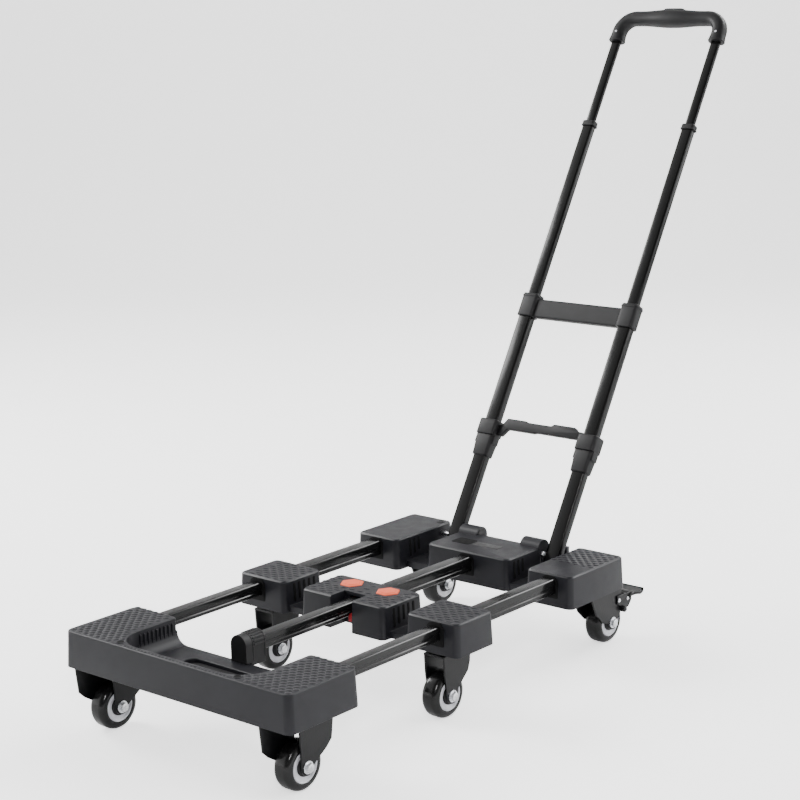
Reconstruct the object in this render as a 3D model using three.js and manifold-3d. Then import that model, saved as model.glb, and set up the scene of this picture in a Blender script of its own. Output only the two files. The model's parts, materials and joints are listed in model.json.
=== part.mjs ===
// Folding luggage cart: three rows of moulded blocks on telescoping rails, six casters and a
// telescoping handle that leans back from the rear row and folds forward over the deck.
// Millimetres. +X is the cart's right, +Y runs from the front bumper to the handle, +Z is up.
import * as THREE from 'three';
import { mergeVertices } from 'three/addons/utils/BufferGeometryUtils.js';
import Module from 'manifold-3d';

const wasm = await Module();
wasm.setup();

// ---------- driving dimensions ----------
// Fits.
const gap = 0.35; // between two pieces that touch or seat in each other
const slideGap = 0.4; // between a sliding tube and what guides it
const past = 1; // how far a cutter runs past the face that it cuts

// Casters.
const wheelDiameter = 63;
const wheelWidth = 26;
const hubRadius = 21;
const boltRadius = 4;
const boltHeadRadius = 6.4;
const boltHeadHeight = 5;
const legThickness = 2.5;
const legEndRadius = 10.5;
const wheelSideGap = 1.6; // between the wheel and a fork leg
const casterHeight = 95; // floor to the caster's mounting face
const swivelRaceRadius = 16;
const swivelRaceHeight = 6;
const stemRadius = 5;
const stemHeight = 9;
const middleTrail = 22; // from a swivel caster's turning axis to its axle
const rearTrail = 30;
const rigidHalfLength = 47; // from the axle to the flared end of a rigid fork's plate
const brakePivotBack = 14; // behind the axle
const brakePivotRise = 32; // over the axle
const brakePlateFront = 38;
const brakePlateRear = 74;
const brakePlateHalfWidth = 22;
const brakePlateThickness = 4;
const brakeShoeBack = 32;
const brakeShoeRise = 19;
const brakeShoeRadius = 3.2;
const cheekThickness = 2;

// Deck heights, measured down from the loading surface.
const deckHeight = 43; // caster mounting face to the loading surface
const bumperSkirt = 5.5; // how far each row's skirt hangs below the caster mounting face
const middleSkirt = 1.8;
const rearSkirt = 3;
const railDrop = 16.3; // loading surface to the rails' centre line
const shelfDrop = 35; // loading surface to the low shelves between the blocks
const wall = 3;
const coverThickness = 2.5;
const edgeChamfer = 2;
const blockCornerRadius = 8;
const draft = 2; // how far a side leans out from its top edge to its bottom edge

// Front row.
const bumperHalfWidth = 194.5;
const bumperFront = -3.5;
const bumperLength = 122.5;
const padInnerX = 117;
const bumperWall = 7.3;
const recessRadius = 44;
const bumperCornerRadius = 10;
const beamSlotHalfLength = 62;
const beamSlotFront = 66;
const beamSlotRear = 92;
const topScrewX = 102;
const topScrewY = 8;
const topScrewRadius = 3.6;
const topScrewDepth = 12;
const frontCasterX = 162;
const frontCasterY = 43;

// Middle row.
const middleFront = 312;
const middleLength = 76;
const middleInnerX = 108;
const middleOuterX = 193;
const middleCentreHalfWidth = 72.5;
const middleCentreFront = 308;
const middleCentreLength = 81.5;
const notchHalfWidth = 19;
const notchDepth = 29;
const middleShelfInset = 8; // side blocks' ends to the shelf's edges
const latchWidth = 6.6;
const latchBottom = 108;
const latchHeight = 8;
const middleCasterX = 152;
const middleCasterAxisY = 354;
const buttonX = 32;
const buttonY = 366.5;
const buttonLength = 34;
const buttonWidth = 30;
const buttonShoulder = 8.5;
const buttonProud = 1.5;
const buttonHeight = 9;

// Rear row.
const rearFront = 564.5;
const rearLength = 131;
const rearInnerX = 117;
const rearOuterX = 193;
const tubeSideGap = 5.5; // between the centre block and a handle tube beside it
const rearCentreFront = 579.5;
const rearCentreLength = 85.5;
const earWidth = 33;
const earRadius = 14;
const earRise = 10;
const earSetBack = 3; // centre block's rear face to the ears' centre line
const stopThickness = 6;
const stopHeight = 12; // pivot to the top of the wall that the tube leans on
const rearCasterX = 152;
const rearCasterAxisY = 676;
const rearShelfInset = 4; // centre block's front and side blocks' rear to the shelf's edges
const labelX = 6;
const labelY = 622;
const labelLength = 46;
const labelWidth = 16;
const labelDepth = 1.2;

// Rails.
const railX = 157.8;
const outerRailWidth = 21.2;
const outerRailHeight = 22.2;
const railWall = 1.2;
const railCornerRadius = 3;
const outerRailFront = 337;
const sideRailRear = 689;
const centreRailRear = 660;
const sideInnerRailRear = 392;
const centreInnerRailRear = 402;
const centreOuterRailFront = 378;
const socketLength = 14;
const capHalfWidth = 13.5;
const capFront = 112;
const capLength = 35;
const capRise = 1.5; // how far the cap's arch stands over the loading surface
const capFace = 4; // thickness of the cap's closed front

// Handle, along its tubes from the pivot.
const handleTilt = 30.5; // degrees back from upright
const tubeX = 90;
const pivotY = 669.8;
const pinSeat = 8; // how far a pivot pin runs into the lug beside it
const lugLength = 18;
const pivotDrop = 12.6; // loading surface to the pivot
const pivotPinRadius = 4;
const tubeBelowPivot = 12;
const lowerTubeWidth = 23;
const lowerTubeDepth = 15;
const tubeWall = 1.4;
const tubeCornerRadius = 3;
const lowerTubeTop = 390;
const crossbarRingAt = 375.5; // middle of the rings
const crossbarAt = 372; // middle of the bar
const crossbarRingHeight = 37;
const crossbarHeight = 30;
const crossbarDepth = 11;
const collarWall = 2.8;
const middleTubeBottom = 334;
const middleTubeTop = 688;
const ferruleHeight = 9;
const ferruleWall = 1.8;
const topTubeBottom = 636;
const topTubeTop = 852;
const sleeveBottom = 128;
const sleeveHeight = 33;
const sleeveWall = 2.2;
const yokeHeight = 24.5;
const yokeWall = 5.5;
const yokeTongueLength = 13;
const linkBarHeight = 14;
const linkBarRise = 5; // link bar's top over the rings' tops
const linkBarDepth = 8;
const gripBottom = 830;
const gripAt = 870; // centre line of the grip's bar
const gripSection = 22;
const gripBulge = 27;
const gripBendRadius = 25;
const bulgeReach = 56; // from the grip's middle to where its swelling ends
const socketSwell = 1.5; // how far the grip's ends stand out past the sockets' walls
const socketWall = 3;
const gripButtonLength = 38;
const gripButtonWidth = 14;
const gripButtonProud = 2;
const gripButtonDepth = 6;

// ---------- what follows from them ----------
const wheelRadius = wheelDiameter / 2;
const deckTop = casterHeight + deckHeight;
const railZ = deckTop - railDrop;
const shelfTop = deckTop - shelfDrop;
const coverBottom = casterHeight + gap;
const coverTop = coverBottom + coverThickness;
const innerRailWidth = outerRailWidth - 2 * railWall - 2 * slideGap;
const innerRailHeight = outerRailHeight - 2 * railWall - 2 * slideGap;
const middleTubeWidth = lowerTubeWidth - 2 * tubeWall - 2 * slideGap;
const middleTubeDepth = lowerTubeDepth - 2 * tubeWall - 2 * slideGap;
const topTubeWidth = middleTubeWidth - 2 * tubeWall - 2 * slideGap;
const topTubeDepth = middleTubeDepth - 2 * tubeWall - 2 * slideGap;
const pivotZ = deckTop - pivotDrop;
const sides = [['left', -1], ['right', 1]];

// ---------- materials ----------
const finish = (color, roughness, metalness) =>
  new THREE.MeshStandardMaterial({ color, roughness, metalness });
const materials = {
  housing: () => finish(0x3b3b3f, 0.55, 0),
  cover: () => finish(0x2c2c2f, 0.6, 0),
  tube: () => finish(0x1c1c1e, 0.25, 0.6),
  button: () => finish(0xf08066, 0.5, 0),
  latch: () => finish(0xb01820, 0.5, 0),
  steel: () => finish(0xc4c6ca, 0.25, 1),
  fork: () => finish(0x26272a, 0.35, 0.4),
  tyre: () => finish(0x101012, 0.2, 0),
  hub: () => finish(0xd8d8dc, 0.4, 0),
  label: () => finish(0x6a6668, 0.45, 0),
};

// ---------- solids ----------
// A closed three.js geometry as a solid that can be cut and joined.
function solid(geometry) {
  const bare = new THREE.BufferGeometry();
  bare.setAttribute('position', geometry.getAttribute('position'));
  if (geometry.index) bare.setIndex(geometry.index);
  const merged = mergeVertices(bare, 1e-4);
  const vertProperties = new Float32Array(merged.getAttribute('position').array);
  const triVerts = new Uint32Array(merged.index.array);
  return new wasm.Manifold(new wasm.Mesh({ numProp: 3, vertProperties, triVerts }));
}

function joined(...pieces) {
  return pieces.reduce((whole, piece) => whole.add(piece));
}

function cut(body, ...cutters) {
  return cutters.reduce((rest, cutter) => rest.subtract(cutter), body);
}

function geometryOf(body) {
  const mesh = body.getMesh();
  const geometry = new THREE.BufferGeometry();
  geometry.setAttribute('position', new THREE.BufferAttribute(mesh.vertProperties, 3));
  geometry.setIndex(new THREE.BufferAttribute(mesh.triVerts, 1));
  geometry.computeVertexNormals();
  return geometry;
}

// A rectangle with round corners, from its low corner to its high corner.
function roundedOutline(x0, y0, x1, y1, radius) {
  const r = Math.min(radius, (x1 - x0) / 2 - 0.01, (y1 - y0) / 2 - 0.01);
  const shape = new THREE.Shape();
  shape.absarc(x1 - r, y0 + r, r, -Math.PI / 2, 0);
  shape.absarc(x1 - r, y1 - r, r, 0, Math.PI / 2);
  shape.absarc(x0 + r, y1 - r, r, Math.PI / 2, Math.PI);
  shape.absarc(x0 + r, y0 + r, r, Math.PI, 1.5 * Math.PI);
  return shape;
}

function polygon(points) {
  return new THREE.Shape(points.map(([x, y]) => new THREE.Vector2(x, y)));
}

// An outline in X and Y, extruded from z0 to z1.
function prism(shape, z0, z1, curveSegments = 4) {
  const geometry = new THREE.ExtrudeGeometry(shape, { depth: z1 - z0, bevelEnabled: false, curveSegments });
  geometry.translate(0, 0, z0);
  return geometry;
}

// The same along Y: the outline is in X and Z.
function prismAlongY(shape, y0, y1, curveSegments = 2) {
  const geometry = prism(shape, -y1, -y0, curveSegments);
  geometry.rotateX(Math.PI / 2);
  return geometry;
}

// The same along X: the outline is in Y and Z.
function prismAlongX(shape, x0, x1, curveSegments = 4) {
  const geometry = prism(shape, x0, x1, curveSegments);
  geometry.applyMatrix4(new THREE.Matrix4().set(0, 0, 1, 0, 1, 0, 0, 0, 0, 1, 0, 0, 0, 0, 0, 1));
  return geometry;
}

function box(x0, x1, y0, y1, z0, z1) {
  const geometry = new THREE.BoxGeometry(x1 - x0, y1 - y0, z1 - z0);
  return geometry.translate((x0 + x1) / 2, (y0 + y1) / 2, (z0 + z1) / 2);
}

function cylinderAlongX(radius, x0, x1, y, z, segments = 20) {
  const geometry = new THREE.CylinderGeometry(radius, radius, x1 - x0, segments);
  return geometry.rotateZ(Math.PI / 2).translate((x0 + x1) / 2, y, z);
}

function cylinderAlongZ(radius, z0, z1, x, y, segments = 20) {
  const geometry = new THREE.CylinderGeometry(radius, radius, z1 - z0, segments);
  return geometry.rotateX(Math.PI / 2).translate(x, y, (z0 + z1) / 2);
}

// A moulded block: round upright corners, a chamfered top edge, and sides that lean out downwards.
function mouldedBlock([x0, x1, y0, y1], z0, z1, radius) {
  const inset = roundedOutline(x0 + edgeChamfer, y0 + edgeChamfer, x1 - edgeChamfer, y1 - edgeChamfer,
    Math.max(radius - edgeChamfer, 0.5));
  const geometry = new THREE.ExtrudeGeometry(inset, {
    depth: z1 - z0, bevelEnabled: true, bevelSize: edgeChamfer, bevelThickness: edgeChamfer,
    bevelSegments: 1, curveSegments: 3,
  });
  geometry.translate(0, 0, z0 - edgeChamfer);
  const position = geometry.getAttribute('position');
  const centreX = (x0 + x1) / 2;
  const centreY = (y0 + y1) / 2;
  for (let i = 0; i < position.count; i += 1) {
    const lean = draft * Math.min((z1 - position.getZ(i)) / (z1 - z0), 1);
    const x = position.getX(i) - centreX;
    const y = position.getY(i) - centreY;
    position.setX(i, centreX + x * (1 + (2 * lean) / (x1 - x0)));
    position.setY(i, centreY + y * (1 + (2 * lean) / (y1 - y0)));
  }
  const trim = box(x0 - 9, x1 + 9, y0 - 9, y1 + 9, z0 - 9, z0);
  return cut(solid(geometry), solid(trim));
}

// The hollow inside a moulded block, open at the bottom.
function hollow([x0, x1, y0, y1], z0, z1, radius) {
  const shape = roundedOutline(x0 + wall, y0 + wall, x1 - wall, y1 - wall, Math.max(radius - wall, 1));
  return solid(prism(shape, z0 - past, z1, 1));
}

// The outline of a row seen from above, all its walls stepped in by `inset`: a centre block, two
// side blocks and the shelf that joins them, with a notch in the centre block's front if it has one.
function rowOutline({ side, centre, shelf, notch }, inset) {
  const [, centreX, centreFront, centreRear] = centre;
  const [sideInner, sideOuter, sideFront, sideRear] = side;
  const half = [
    [centreX - inset, centreFront + inset], [centreX - inset, shelf[0] + inset],
    [sideInner + inset, shelf[0] + inset], [sideInner + inset, sideFront + inset],
    [sideOuter - inset, sideFront + inset], [sideOuter - inset, sideRear - inset],
    [sideInner + inset, sideRear - inset], [sideInner + inset, shelf[1] - inset],
  ];
  if (centreRear > shelf[1]) {
    half.push([centreX - inset, shelf[1] - inset], [centreX - inset, centreRear - inset]);
  }
  if (notch) {
    const x = notch.halfWidth + inset;
    half.unshift([x, notch.back + inset], [x, centreFront + inset]);
  }
  const mirrored = half.map(([x, y]) => [-x, y]).reverse();
  return polygon([...half, ...mirrored]);
}

// The plate that closes a row from below, with holes for its casters' stems.
function underCover(row, stems) {
  const shape = rowOutline(row, wall + gap);
  for (const [x, y] of stems) {
    shape.holes.push(new THREE.Path().absarc(x, y, stemRadius + slideGap, 0, 2 * Math.PI));
  }
  return prism(shape, coverBottom, coverTop, 8);
}

// A row's hollow moulding, open at the bottom.
function rowShell(row, skirt) {
  const bottom = casterHeight - skirt;
  const [sideInner, sideOuter, sideFront, sideRear] = row.side;
  const blocks = [row.centre, row.side, [-sideOuter, -sideInner, sideFront, sideRear]];
  const shelfX = sideInner + 2 * wall;
  const shelf = box(-shelfX, shelfX, row.shelf[0], row.shelf[1], bottom + wall / 3, shelfTop);
  const raisedBlocks = blocks.map((plan) => mouldedBlock(plan, bottom, deckTop, blockCornerRadius));
  let body = joined(solid(shelf), ...raisedBlocks);
  body = body.subtract(solid(prism(rowOutline(row, wall), bottom - past, shelfTop - wall)));
  const upper = shelfTop - 2 * wall;
  for (const plan of blocks.slice(1)) {
    body = body.subtract(hollow(plan, upper, deckTop - wall, blockCornerRadius));
  }
  const centreHollow = hollow(row.centre, upper, deckTop - wall, blockCornerRadius);
  if (!row.notch) return body.subtract(centreHollow);
  const { halfWidth, back } = row.notch;
  const front = row.centre[2] - 9;
  const kept = box(-halfWidth - wall, halfWidth + wall, front, back + wall, bottom, deckTop);
  const notch = box(-halfWidth, halfWidth, front, back, bottom - past, deckTop + past);
  return cut(body, cut(centreHollow, solid(kept)), solid(notch));
}

// A rail's outline in X and Z, grown on every side by a clearance.
function railOutline(x, width, height, grow = 0) {
  const w = width / 2 + grow;
  const h = height / 2 + grow;
  return roundedOutline(x - w, railZ - h, x + w, railZ + h, railCornerRadius + grow);
}

function rail(x, width, height, y0, y1) {
  const outer = solid(prismAlongY(railOutline(x, width, height), y0, y1));
  const bore = solid(prismAlongY(railOutline(x, width, height, -railWall), y0 - past, y1 + past));
  return cut(outer, bore);
}

function railHole(x, y0, y1) {
  return solid(prismAlongY(railOutline(x, outerRailWidth, outerRailHeight, slideGap), y0, y1));
}

// A socket that holds a rail's end: a boss inside a block, with a pocket of the rail's size.
function railSocket(x, width, height, y0, y1, open) {
  const w = width / 2 + wall;
  const h = height / 2 + wall;
  const boss = solid(box(x - w, x + w, y0, y1, railZ - h, deckTop - wall / 2));
  const pocketFrom = open > 0 ? y0 + wall / 2 : y0 - past;
  const pocketTo = open > 0 ? y1 + past : y1 - wall / 2;
  return { boss, pocket: solid(prismAlongY(railOutline(x, width, height, gap), pocketFrom, pocketTo)) };
}

const casterAxes = (x, y) => sides.map(([, side]) => [side * x, y]);

const cart = new THREE.Group();

function addTo(group, name, geometry, material) {
  const mesh = new THREE.Mesh(geometry, material);
  mesh.name = name;
  group.add(mesh);
  return mesh;
}

// ---------- front row ----------
const bumperBottom = casterHeight - bumperSkirt;
const bumperRear = bumperFront + bumperLength;
const bumperPlan = [-bumperHalfWidth, bumperHalfWidth, bumperFront, bumperRear];
const innerRailFront = bumperFront + wall + wall / 2 + gap;

function frontBumper() {
  const whole = mouldedBlock(bumperPlan, bumperBottom, deckTop, bumperCornerRadius);
  const recessShape = roundedOutline(-padInnerX, bumperWall, padInnerX, bumperRear + 3 * recessRadius,
    recessRadius);
  const recess = solid(prism(recessShape, shelfTop, deckTop + past, 6));
  const lowHollow = hollow(bumperPlan, bumperBottom, shelfTop - wall, bumperCornerRadius);
  const slotShape = roundedOutline(-beamSlotHalfLength, beamSlotFront, beamSlotHalfLength, beamSlotRear,
    (beamSlotRear - beamSlotFront) / 2);
  const slot = solid(prism(slotShape, shelfTop - wall - past, shelfTop + past));
  let body = cut(whole, recess, lowHollow, slot);
  for (const [, side] of sides) {
    const padPlan = side < 0
      ? [-bumperHalfWidth, -padInnerX + wall / 2, bumperFront, bumperRear]
      : [padInnerX - wall / 2, bumperHalfWidth, bumperFront, bumperRear];
    const socket = railSocket(side * railX, innerRailWidth, innerRailHeight,
      bumperFront + wall / 2, bumperFront + wall + socketLength, 1);
    const padHollow = hollow(padPlan, bumperBottom, deckTop - wall, bumperCornerRadius);
    const rearHole = railHole(side * railX, bumperFront + wall + socketLength - past, bumperRear + 3);
    const screwHole = cylinderAlongZ(topScrewRadius, deckTop - topScrewDepth, deckTop + past,
      side * topScrewX, topScrewY, 16);
    body = cut(joined(cut(body, padHollow), socket.boss), socket.pocket, rearHole, solid(screwHole));
  }
  return body;
}

function centreRailCap() {
  const top = deckTop + capRise;
  const arch = new THREE.Shape();
  arch.moveTo(-capHalfWidth, coverTop + past);
  arch.lineTo(capHalfWidth, coverTop + past);
  arch.absarc(0, top - capHalfWidth, capHalfWidth, 0, Math.PI);
  const body = solid(prismAlongY(arch, capFront, capFront + capLength, 10));
  const beamRear = bumperRear + draft + gap;
  const overBeam = box(-capHalfWidth - past, capHalfWidth + past, capFront - past, beamRear,
    0, shelfTop + gap);
  const seat = capFront + capFace;
  const innerPocket = prismAlongY(railOutline(0, innerRailWidth, innerRailHeight, gap), seat - gap,
    seat + capFace);
  const outerPocket = prismAlongY(railOutline(0, outerRailWidth, outerRailHeight, slideGap), seat + wall,
    capFront + capLength + past);
  return cut(body, solid(overBeam), solid(innerPocket), solid(outerPocket));
}

addTo(cart, 'front_bumper', geometryOf(frontBumper()), materials.housing());
const coverInset = wall + gap;
const frontCover = roundedOutline(coverInset - bumperHalfWidth, bumperFront + coverInset,
  bumperHalfWidth - coverInset, bumperRear - coverInset, bumperCornerRadius - coverInset);
addTo(cart, 'front_under_cover', prism(frontCover, coverBottom, coverTop, 1), materials.cover());
addTo(cart, 'centre_rail_cap', geometryOf(centreRailCap()), materials.housing());
for (const [name, side] of sides) {
  const geometry = geometryOf(rail(side * railX, innerRailWidth, innerRailHeight, innerRailFront,
    sideInnerRailRear));
  addTo(cart, `inner_rail_${name}`, geometry, materials.tube());
}
addTo(cart, 'inner_rail_centre',
  geometryOf(rail(0, innerRailWidth, innerRailHeight, capFront + capFace, centreInnerRailRear)),
  materials.tube());

// ---------- middle row ----------
const middleRow = {
  side: [middleInnerX, middleOuterX, middleFront, middleFront + middleLength],
  centre: [-middleCentreHalfWidth, middleCentreHalfWidth, middleCentreFront,
    middleCentreFront + middleCentreLength],
  shelf: [middleFront + middleShelfInset, middleFront + middleLength - middleShelfInset],
  notch: { halfWidth: notchHalfWidth, back: middleCentreFront + notchDepth },
};

// An elongated hexagon with its points to the left and right.
function buttonOutline(x, grow) {
  const a = buttonLength / 2 + grow;
  const b = buttonWidth / 2 + grow;
  const shoulder = buttonShoulder + grow / 2;
  return polygon([[x - a, buttonY], [x - shoulder, buttonY - b], [x + shoulder, buttonY - b],
    [x + a, buttonY], [x + shoulder, buttonY + b], [x - shoulder, buttonY + b]]);
}

function middleHousing() {
  let body = rowShell(middleRow, middleSkirt);
  const [, , front, rear] = middleRow.centre;
  for (const x of [-railX, 0, railX]) body = body.subtract(railHole(x, front - 9, rear + 9));
  for (const [, side] of sides) {
    const hole = prism(buttonOutline(side * buttonX, gap), deckTop - wall - past, deckTop + past);
    body = body.subtract(solid(hole));
  }
  return body;
}

addTo(cart, 'middle_housing', geometryOf(middleHousing()), materials.housing());
addTo(cart, 'middle_under_cover', underCover(middleRow, casterAxes(middleCasterX, middleCasterAxisY)),
  materials.cover());
for (const [name, side] of sides) {
  const top = deckTop + buttonProud;
  const geometry = prism(buttonOutline(side * buttonX, 0), top - buttonHeight, top);
  addTo(cart, `release_button_${name}`, geometryOf(solid(geometry)), materials.button());
}
const latchOuterX = notchHalfWidth - 2 * gap;
addTo(cart, 'lock_latch', geometryOf(solid(box(latchOuterX - latchWidth, latchOuterX, middleCentreFront,
  middleRow.notch.back - gap, latchBottom, latchBottom + latchHeight))), materials.latch());

// ---------- rear row ----------
const rearCentreRear = rearCentreFront + rearCentreLength;
const rearCentreHalfWidth = tubeX - lowerTubeWidth / 2 - tubeSideGap;
const rearRow = {
  side: [rearInnerX, rearOuterX, rearFront, rearFront + rearLength],
  centre: [-rearCentreHalfWidth, rearCentreHalfWidth, rearCentreFront, rearCentreRear],
  shelf: [rearCentreFront + rearShelfInset, rearFront + rearLength - rearShelfInset],
};

// A pivot pin crosses the channel between the centre block's lug and a side block's wall.
function pinSpan(side) {
  const ends = [side * (rearCentreHalfWidth - pinSeat), side * (rearInnerX + wall)];
  return ends.sort((a, b) => a - b);
}

// A barrel that lies across the cart beside a handle tube, on the centre block's rear edge.
function rearEar(side) {
  const ends = [side * rearCentreHalfWidth, side * (rearCentreHalfWidth - earWidth)];
  const [x0, x1] = ends.sort((a, b) => a - b);
  return solid(cylinderAlongX(earRadius, x0, x1, rearCentreRear + earSetBack, deckTop + earRise - earRadius,
    24));
}

// The lug behind the centre block that carries a pivot pin's inner end.
function pivotLug(side) {
  const ends = [side * (rearCentreHalfWidth - wall / 6), side * (rearCentreHalfWidth - lugLength)];
  const [x0, x1] = ends.sort((a, b) => a - b);
  const reach = pivotPinRadius + gap + wall;
  return solid(box(x0, x1, rearCentreRear - wall / 2, pivotY + reach, shelfTop - wall / 2, pivotZ + reach));
}

// The wall behind a tube's foot that holds the handle at its lean.
function handleStop(side) {
  const lean = Math.tan(THREE.MathUtils.degToRad(handleTilt));
  const front = pivotY + stopHeight * lean + lowerTubeDepth / 2 / Math.cos(Math.atan(lean)) + gap;
  const x = side * tubeX;
  const half = lowerTubeWidth / 2;
  return solid(box(x - half, x + half, front, front + stopThickness, shelfTop - wall / 2,
    pivotZ + stopHeight));
}

function rearHousing() {
  let body = rowShell(rearRow, rearSkirt);
  body = joined(body, ...sides.flatMap(([, side]) => [rearEar(side), pivotLug(side), handleStop(side)]));
  for (const [x, rear] of [[-railX, sideRailRear], [0, centreRailRear], [railX, sideRailRear]]) {
    const back = rear + gap + wall / 2;
    const socket = railSocket(x, outerRailWidth, outerRailHeight, rear - socketLength, back, -1);
    const through = railHole(x, rearFront - 9, rear - socketLength + past);
    body = cut(body.add(socket.boss), socket.pocket, through);
  }
  for (const [, side] of sides) {
    const [x0, x1] = pinSpan(side);
    body = body.subtract(solid(cylinderAlongX(pivotPinRadius + gap, x0 - gap, x1 + gap, pivotY, pivotZ, 16)));
  }
  const labelPocket = box(labelX - labelLength / 2, labelX + labelLength / 2, labelY - labelWidth / 2,
    labelY + labelWidth / 2, deckTop - labelDepth, deckTop + past);
  return body.subtract(solid(labelPocket));
}

addTo(cart, 'rear_housing', geometryOf(rearHousing()), materials.housing());
addTo(cart, 'rear_under_cover', underCover(rearRow, casterAxes(rearCasterX, rearCasterAxisY)),
  materials.cover());
for (const [name, side] of sides) {
  const geometry = geometryOf(rail(side * railX, outerRailWidth, outerRailHeight, outerRailFront,
    sideRailRear));
  addTo(cart, `outer_rail_${name}`, geometry, materials.tube());
  const pin = cylinderAlongX(pivotPinRadius, ...pinSpan(side), pivotY, pivotZ, 16);
  addTo(cart, `pivot_pin_${name}`, geometryOf(solid(pin)), materials.steel());
}
addTo(cart, 'outer_rail_centre',
  geometryOf(rail(0, outerRailWidth, outerRailHeight, centreOuterRailFront, centreRailRear)),
  materials.tube());
const labelHalf = labelLength / 2 - gap;
addTo(cart, 'label_plate', geometryOf(solid(box(labelX - labelHalf, labelX + labelHalf,
  labelY - labelWidth / 2 + gap, labelY + labelWidth / 2 - gap, deckTop - labelDepth + gap, deckTop - gap))),
materials.label());


// ---------- casters ----------
const axleZ = wheelRadius;
const middleAxleY = middleCasterAxisY - middleTrail;
const rearAxleY = rearCasterAxisY + rearTrail;
const legInner = wheelWidth / 2 + wheelSideGap;
const legOuter = legInner + legThickness;
const crownTop = casterHeight - swivelRaceHeight - gap;

// A closed profile of [radius, x] points, spun about an axis along X.
function spunAboutX(profile, x, y, z, segments) {
  const points = [...profile, profile[0]].map(([radius, along]) => new THREE.Vector2(radius, along));
  const geometry = new THREE.LatheGeometry(points, segments);
  return geometry.rotateZ(-Math.PI / 2).translate(x, y, z);
}

function tyre(x, y) {
  const half = wheelWidth / 2;
  const inner = hubRadius + gap;
  const shoulder = wheelRadius - 4;
  return spunAboutX([[inner, -half], [shoulder, -half], [wheelRadius, -half / 2], [wheelRadius, half / 2],
    [shoulder, half], [inner, half]], x, y, axleZ, 20);
}

function hub(x, y) {
  const half = wheelWidth / 2;
  const bore = boltRadius + gap;
  const boss = 9;
  const web = half - 3;
  return spunAboutX([[bore, -half - 1], [boss, -half - 1], [boss, -web], [hubRadius, -web], [hubRadius, web],
    [boss, web], [boss, half + 1], [bore, half + 1]], x, y, axleZ, 12);
}

// The bolt through the fork and the hub, with its head on the cart's right.
function axleBolt(x, y) {
  const head = boltHeadHeight;
  const shank = cylinderAlongX(boltRadius, x - legOuter - head, x + legOuter + head, y, axleZ, 12);
  const start = legOuter + gap;
  const right = cylinderAlongX(boltHeadRadius, x + start, x + start + head, y, axleZ, 6);
  const left = cylinderAlongX(boltHeadRadius, x - start - head, x - start, y, axleZ, 6);
  return joined(solid(shank), solid(right), solid(left));
}

// A leg of a fork: its outline is given as [back, height] points, with `back` counted from the
// axle along Y, and runs on round the axle at its foot.
function forkLeg(x0, x1, axleY, points) {
  const shape = new THREE.Shape();
  shape.absarc(axleY, axleZ, legEndRadius, Math.PI, 2 * Math.PI);
  for (const [back, z] of points) shape.lineTo(axleY + back, z);
  const leg = solid(prismAlongX(shape, x0, x1, 5));
  return cut(leg, solid(cylinderAlongX(boltRadius + gap, x0 - past, x1 + past, axleY, axleZ, 12)));
}

// A rigid fork's left leg flares to the front and its right leg to the rear.
function rigidFork(x, y) {
  const top = casterHeight;
  const end = legEndRadius + 3;
  const underSkirt = bumperBottom - gap;
  const rear = [[end + 9, axleZ + 8], [end + 20, axleZ + 15], [rigidHalfLength - 4, axleZ + 24],
    [rigidHalfLength, underSkirt], [rigidHalfLength - 9, underSkirt], [rigidHalfLength - 9, top],
    [-end, top]];
  const front = rear.map(([back, z]) => [-back, z]).reverse();
  const plate = box(x - legOuter, x + legOuter, y - end - 2, y + end + 2, top - legThickness, top);
  return joined(forkLeg(x + legInner, x + legOuter, y, rear), forkLeg(x - legOuter, x - legInner, y, front),
    solid(plate));
}

// A swivel fork: the points run from the side of the axle away from the turning axis, up and over.
function swivelFork(x, axisY, axleY, points) {
  const way = Math.sign(axleY - axisY);
  const outline = points.map(([back, z]) => [way * back, z]);
  if (way < 0) outline.reverse();
  const backs = points.map(([back]) => axleY + way * back);
  const [y0, y1] = [Math.min(...backs), Math.max(...backs)];
  const legs = [[x + legInner, x + legOuter], [x - legOuter, x - legInner]]
    .map(([x0, x1]) => forkLeg(x0, x1, axleY, outline));
  const crown = prism(roundedOutline(x - legOuter, y0, x + legOuter, y1, 4), crownTop - legThickness,
    crownTop);
  const race = cylinderAlongZ(swivelRaceRadius, crownTop - past, casterHeight, x, axisY, 16);
  const stem = cylinderAlongZ(stemRadius, casterHeight - past, casterHeight + stemHeight, x, axisY, 12);
  return joined(...legs, solid(crown), solid(race), solid(stem));
}

const middleForkOutline = [[15, 60], [17, crownTop], [-38, crownTop], [-37, 70], [-33, 58], [-21, 47.5],
  [-12, 39]];
const rearForkOutline = [[19, 42], [22, 60], [22, crownTop], [-55, crownTop], [-55, 80], [-42, 52.5],
  [-24, 36]];

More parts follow.
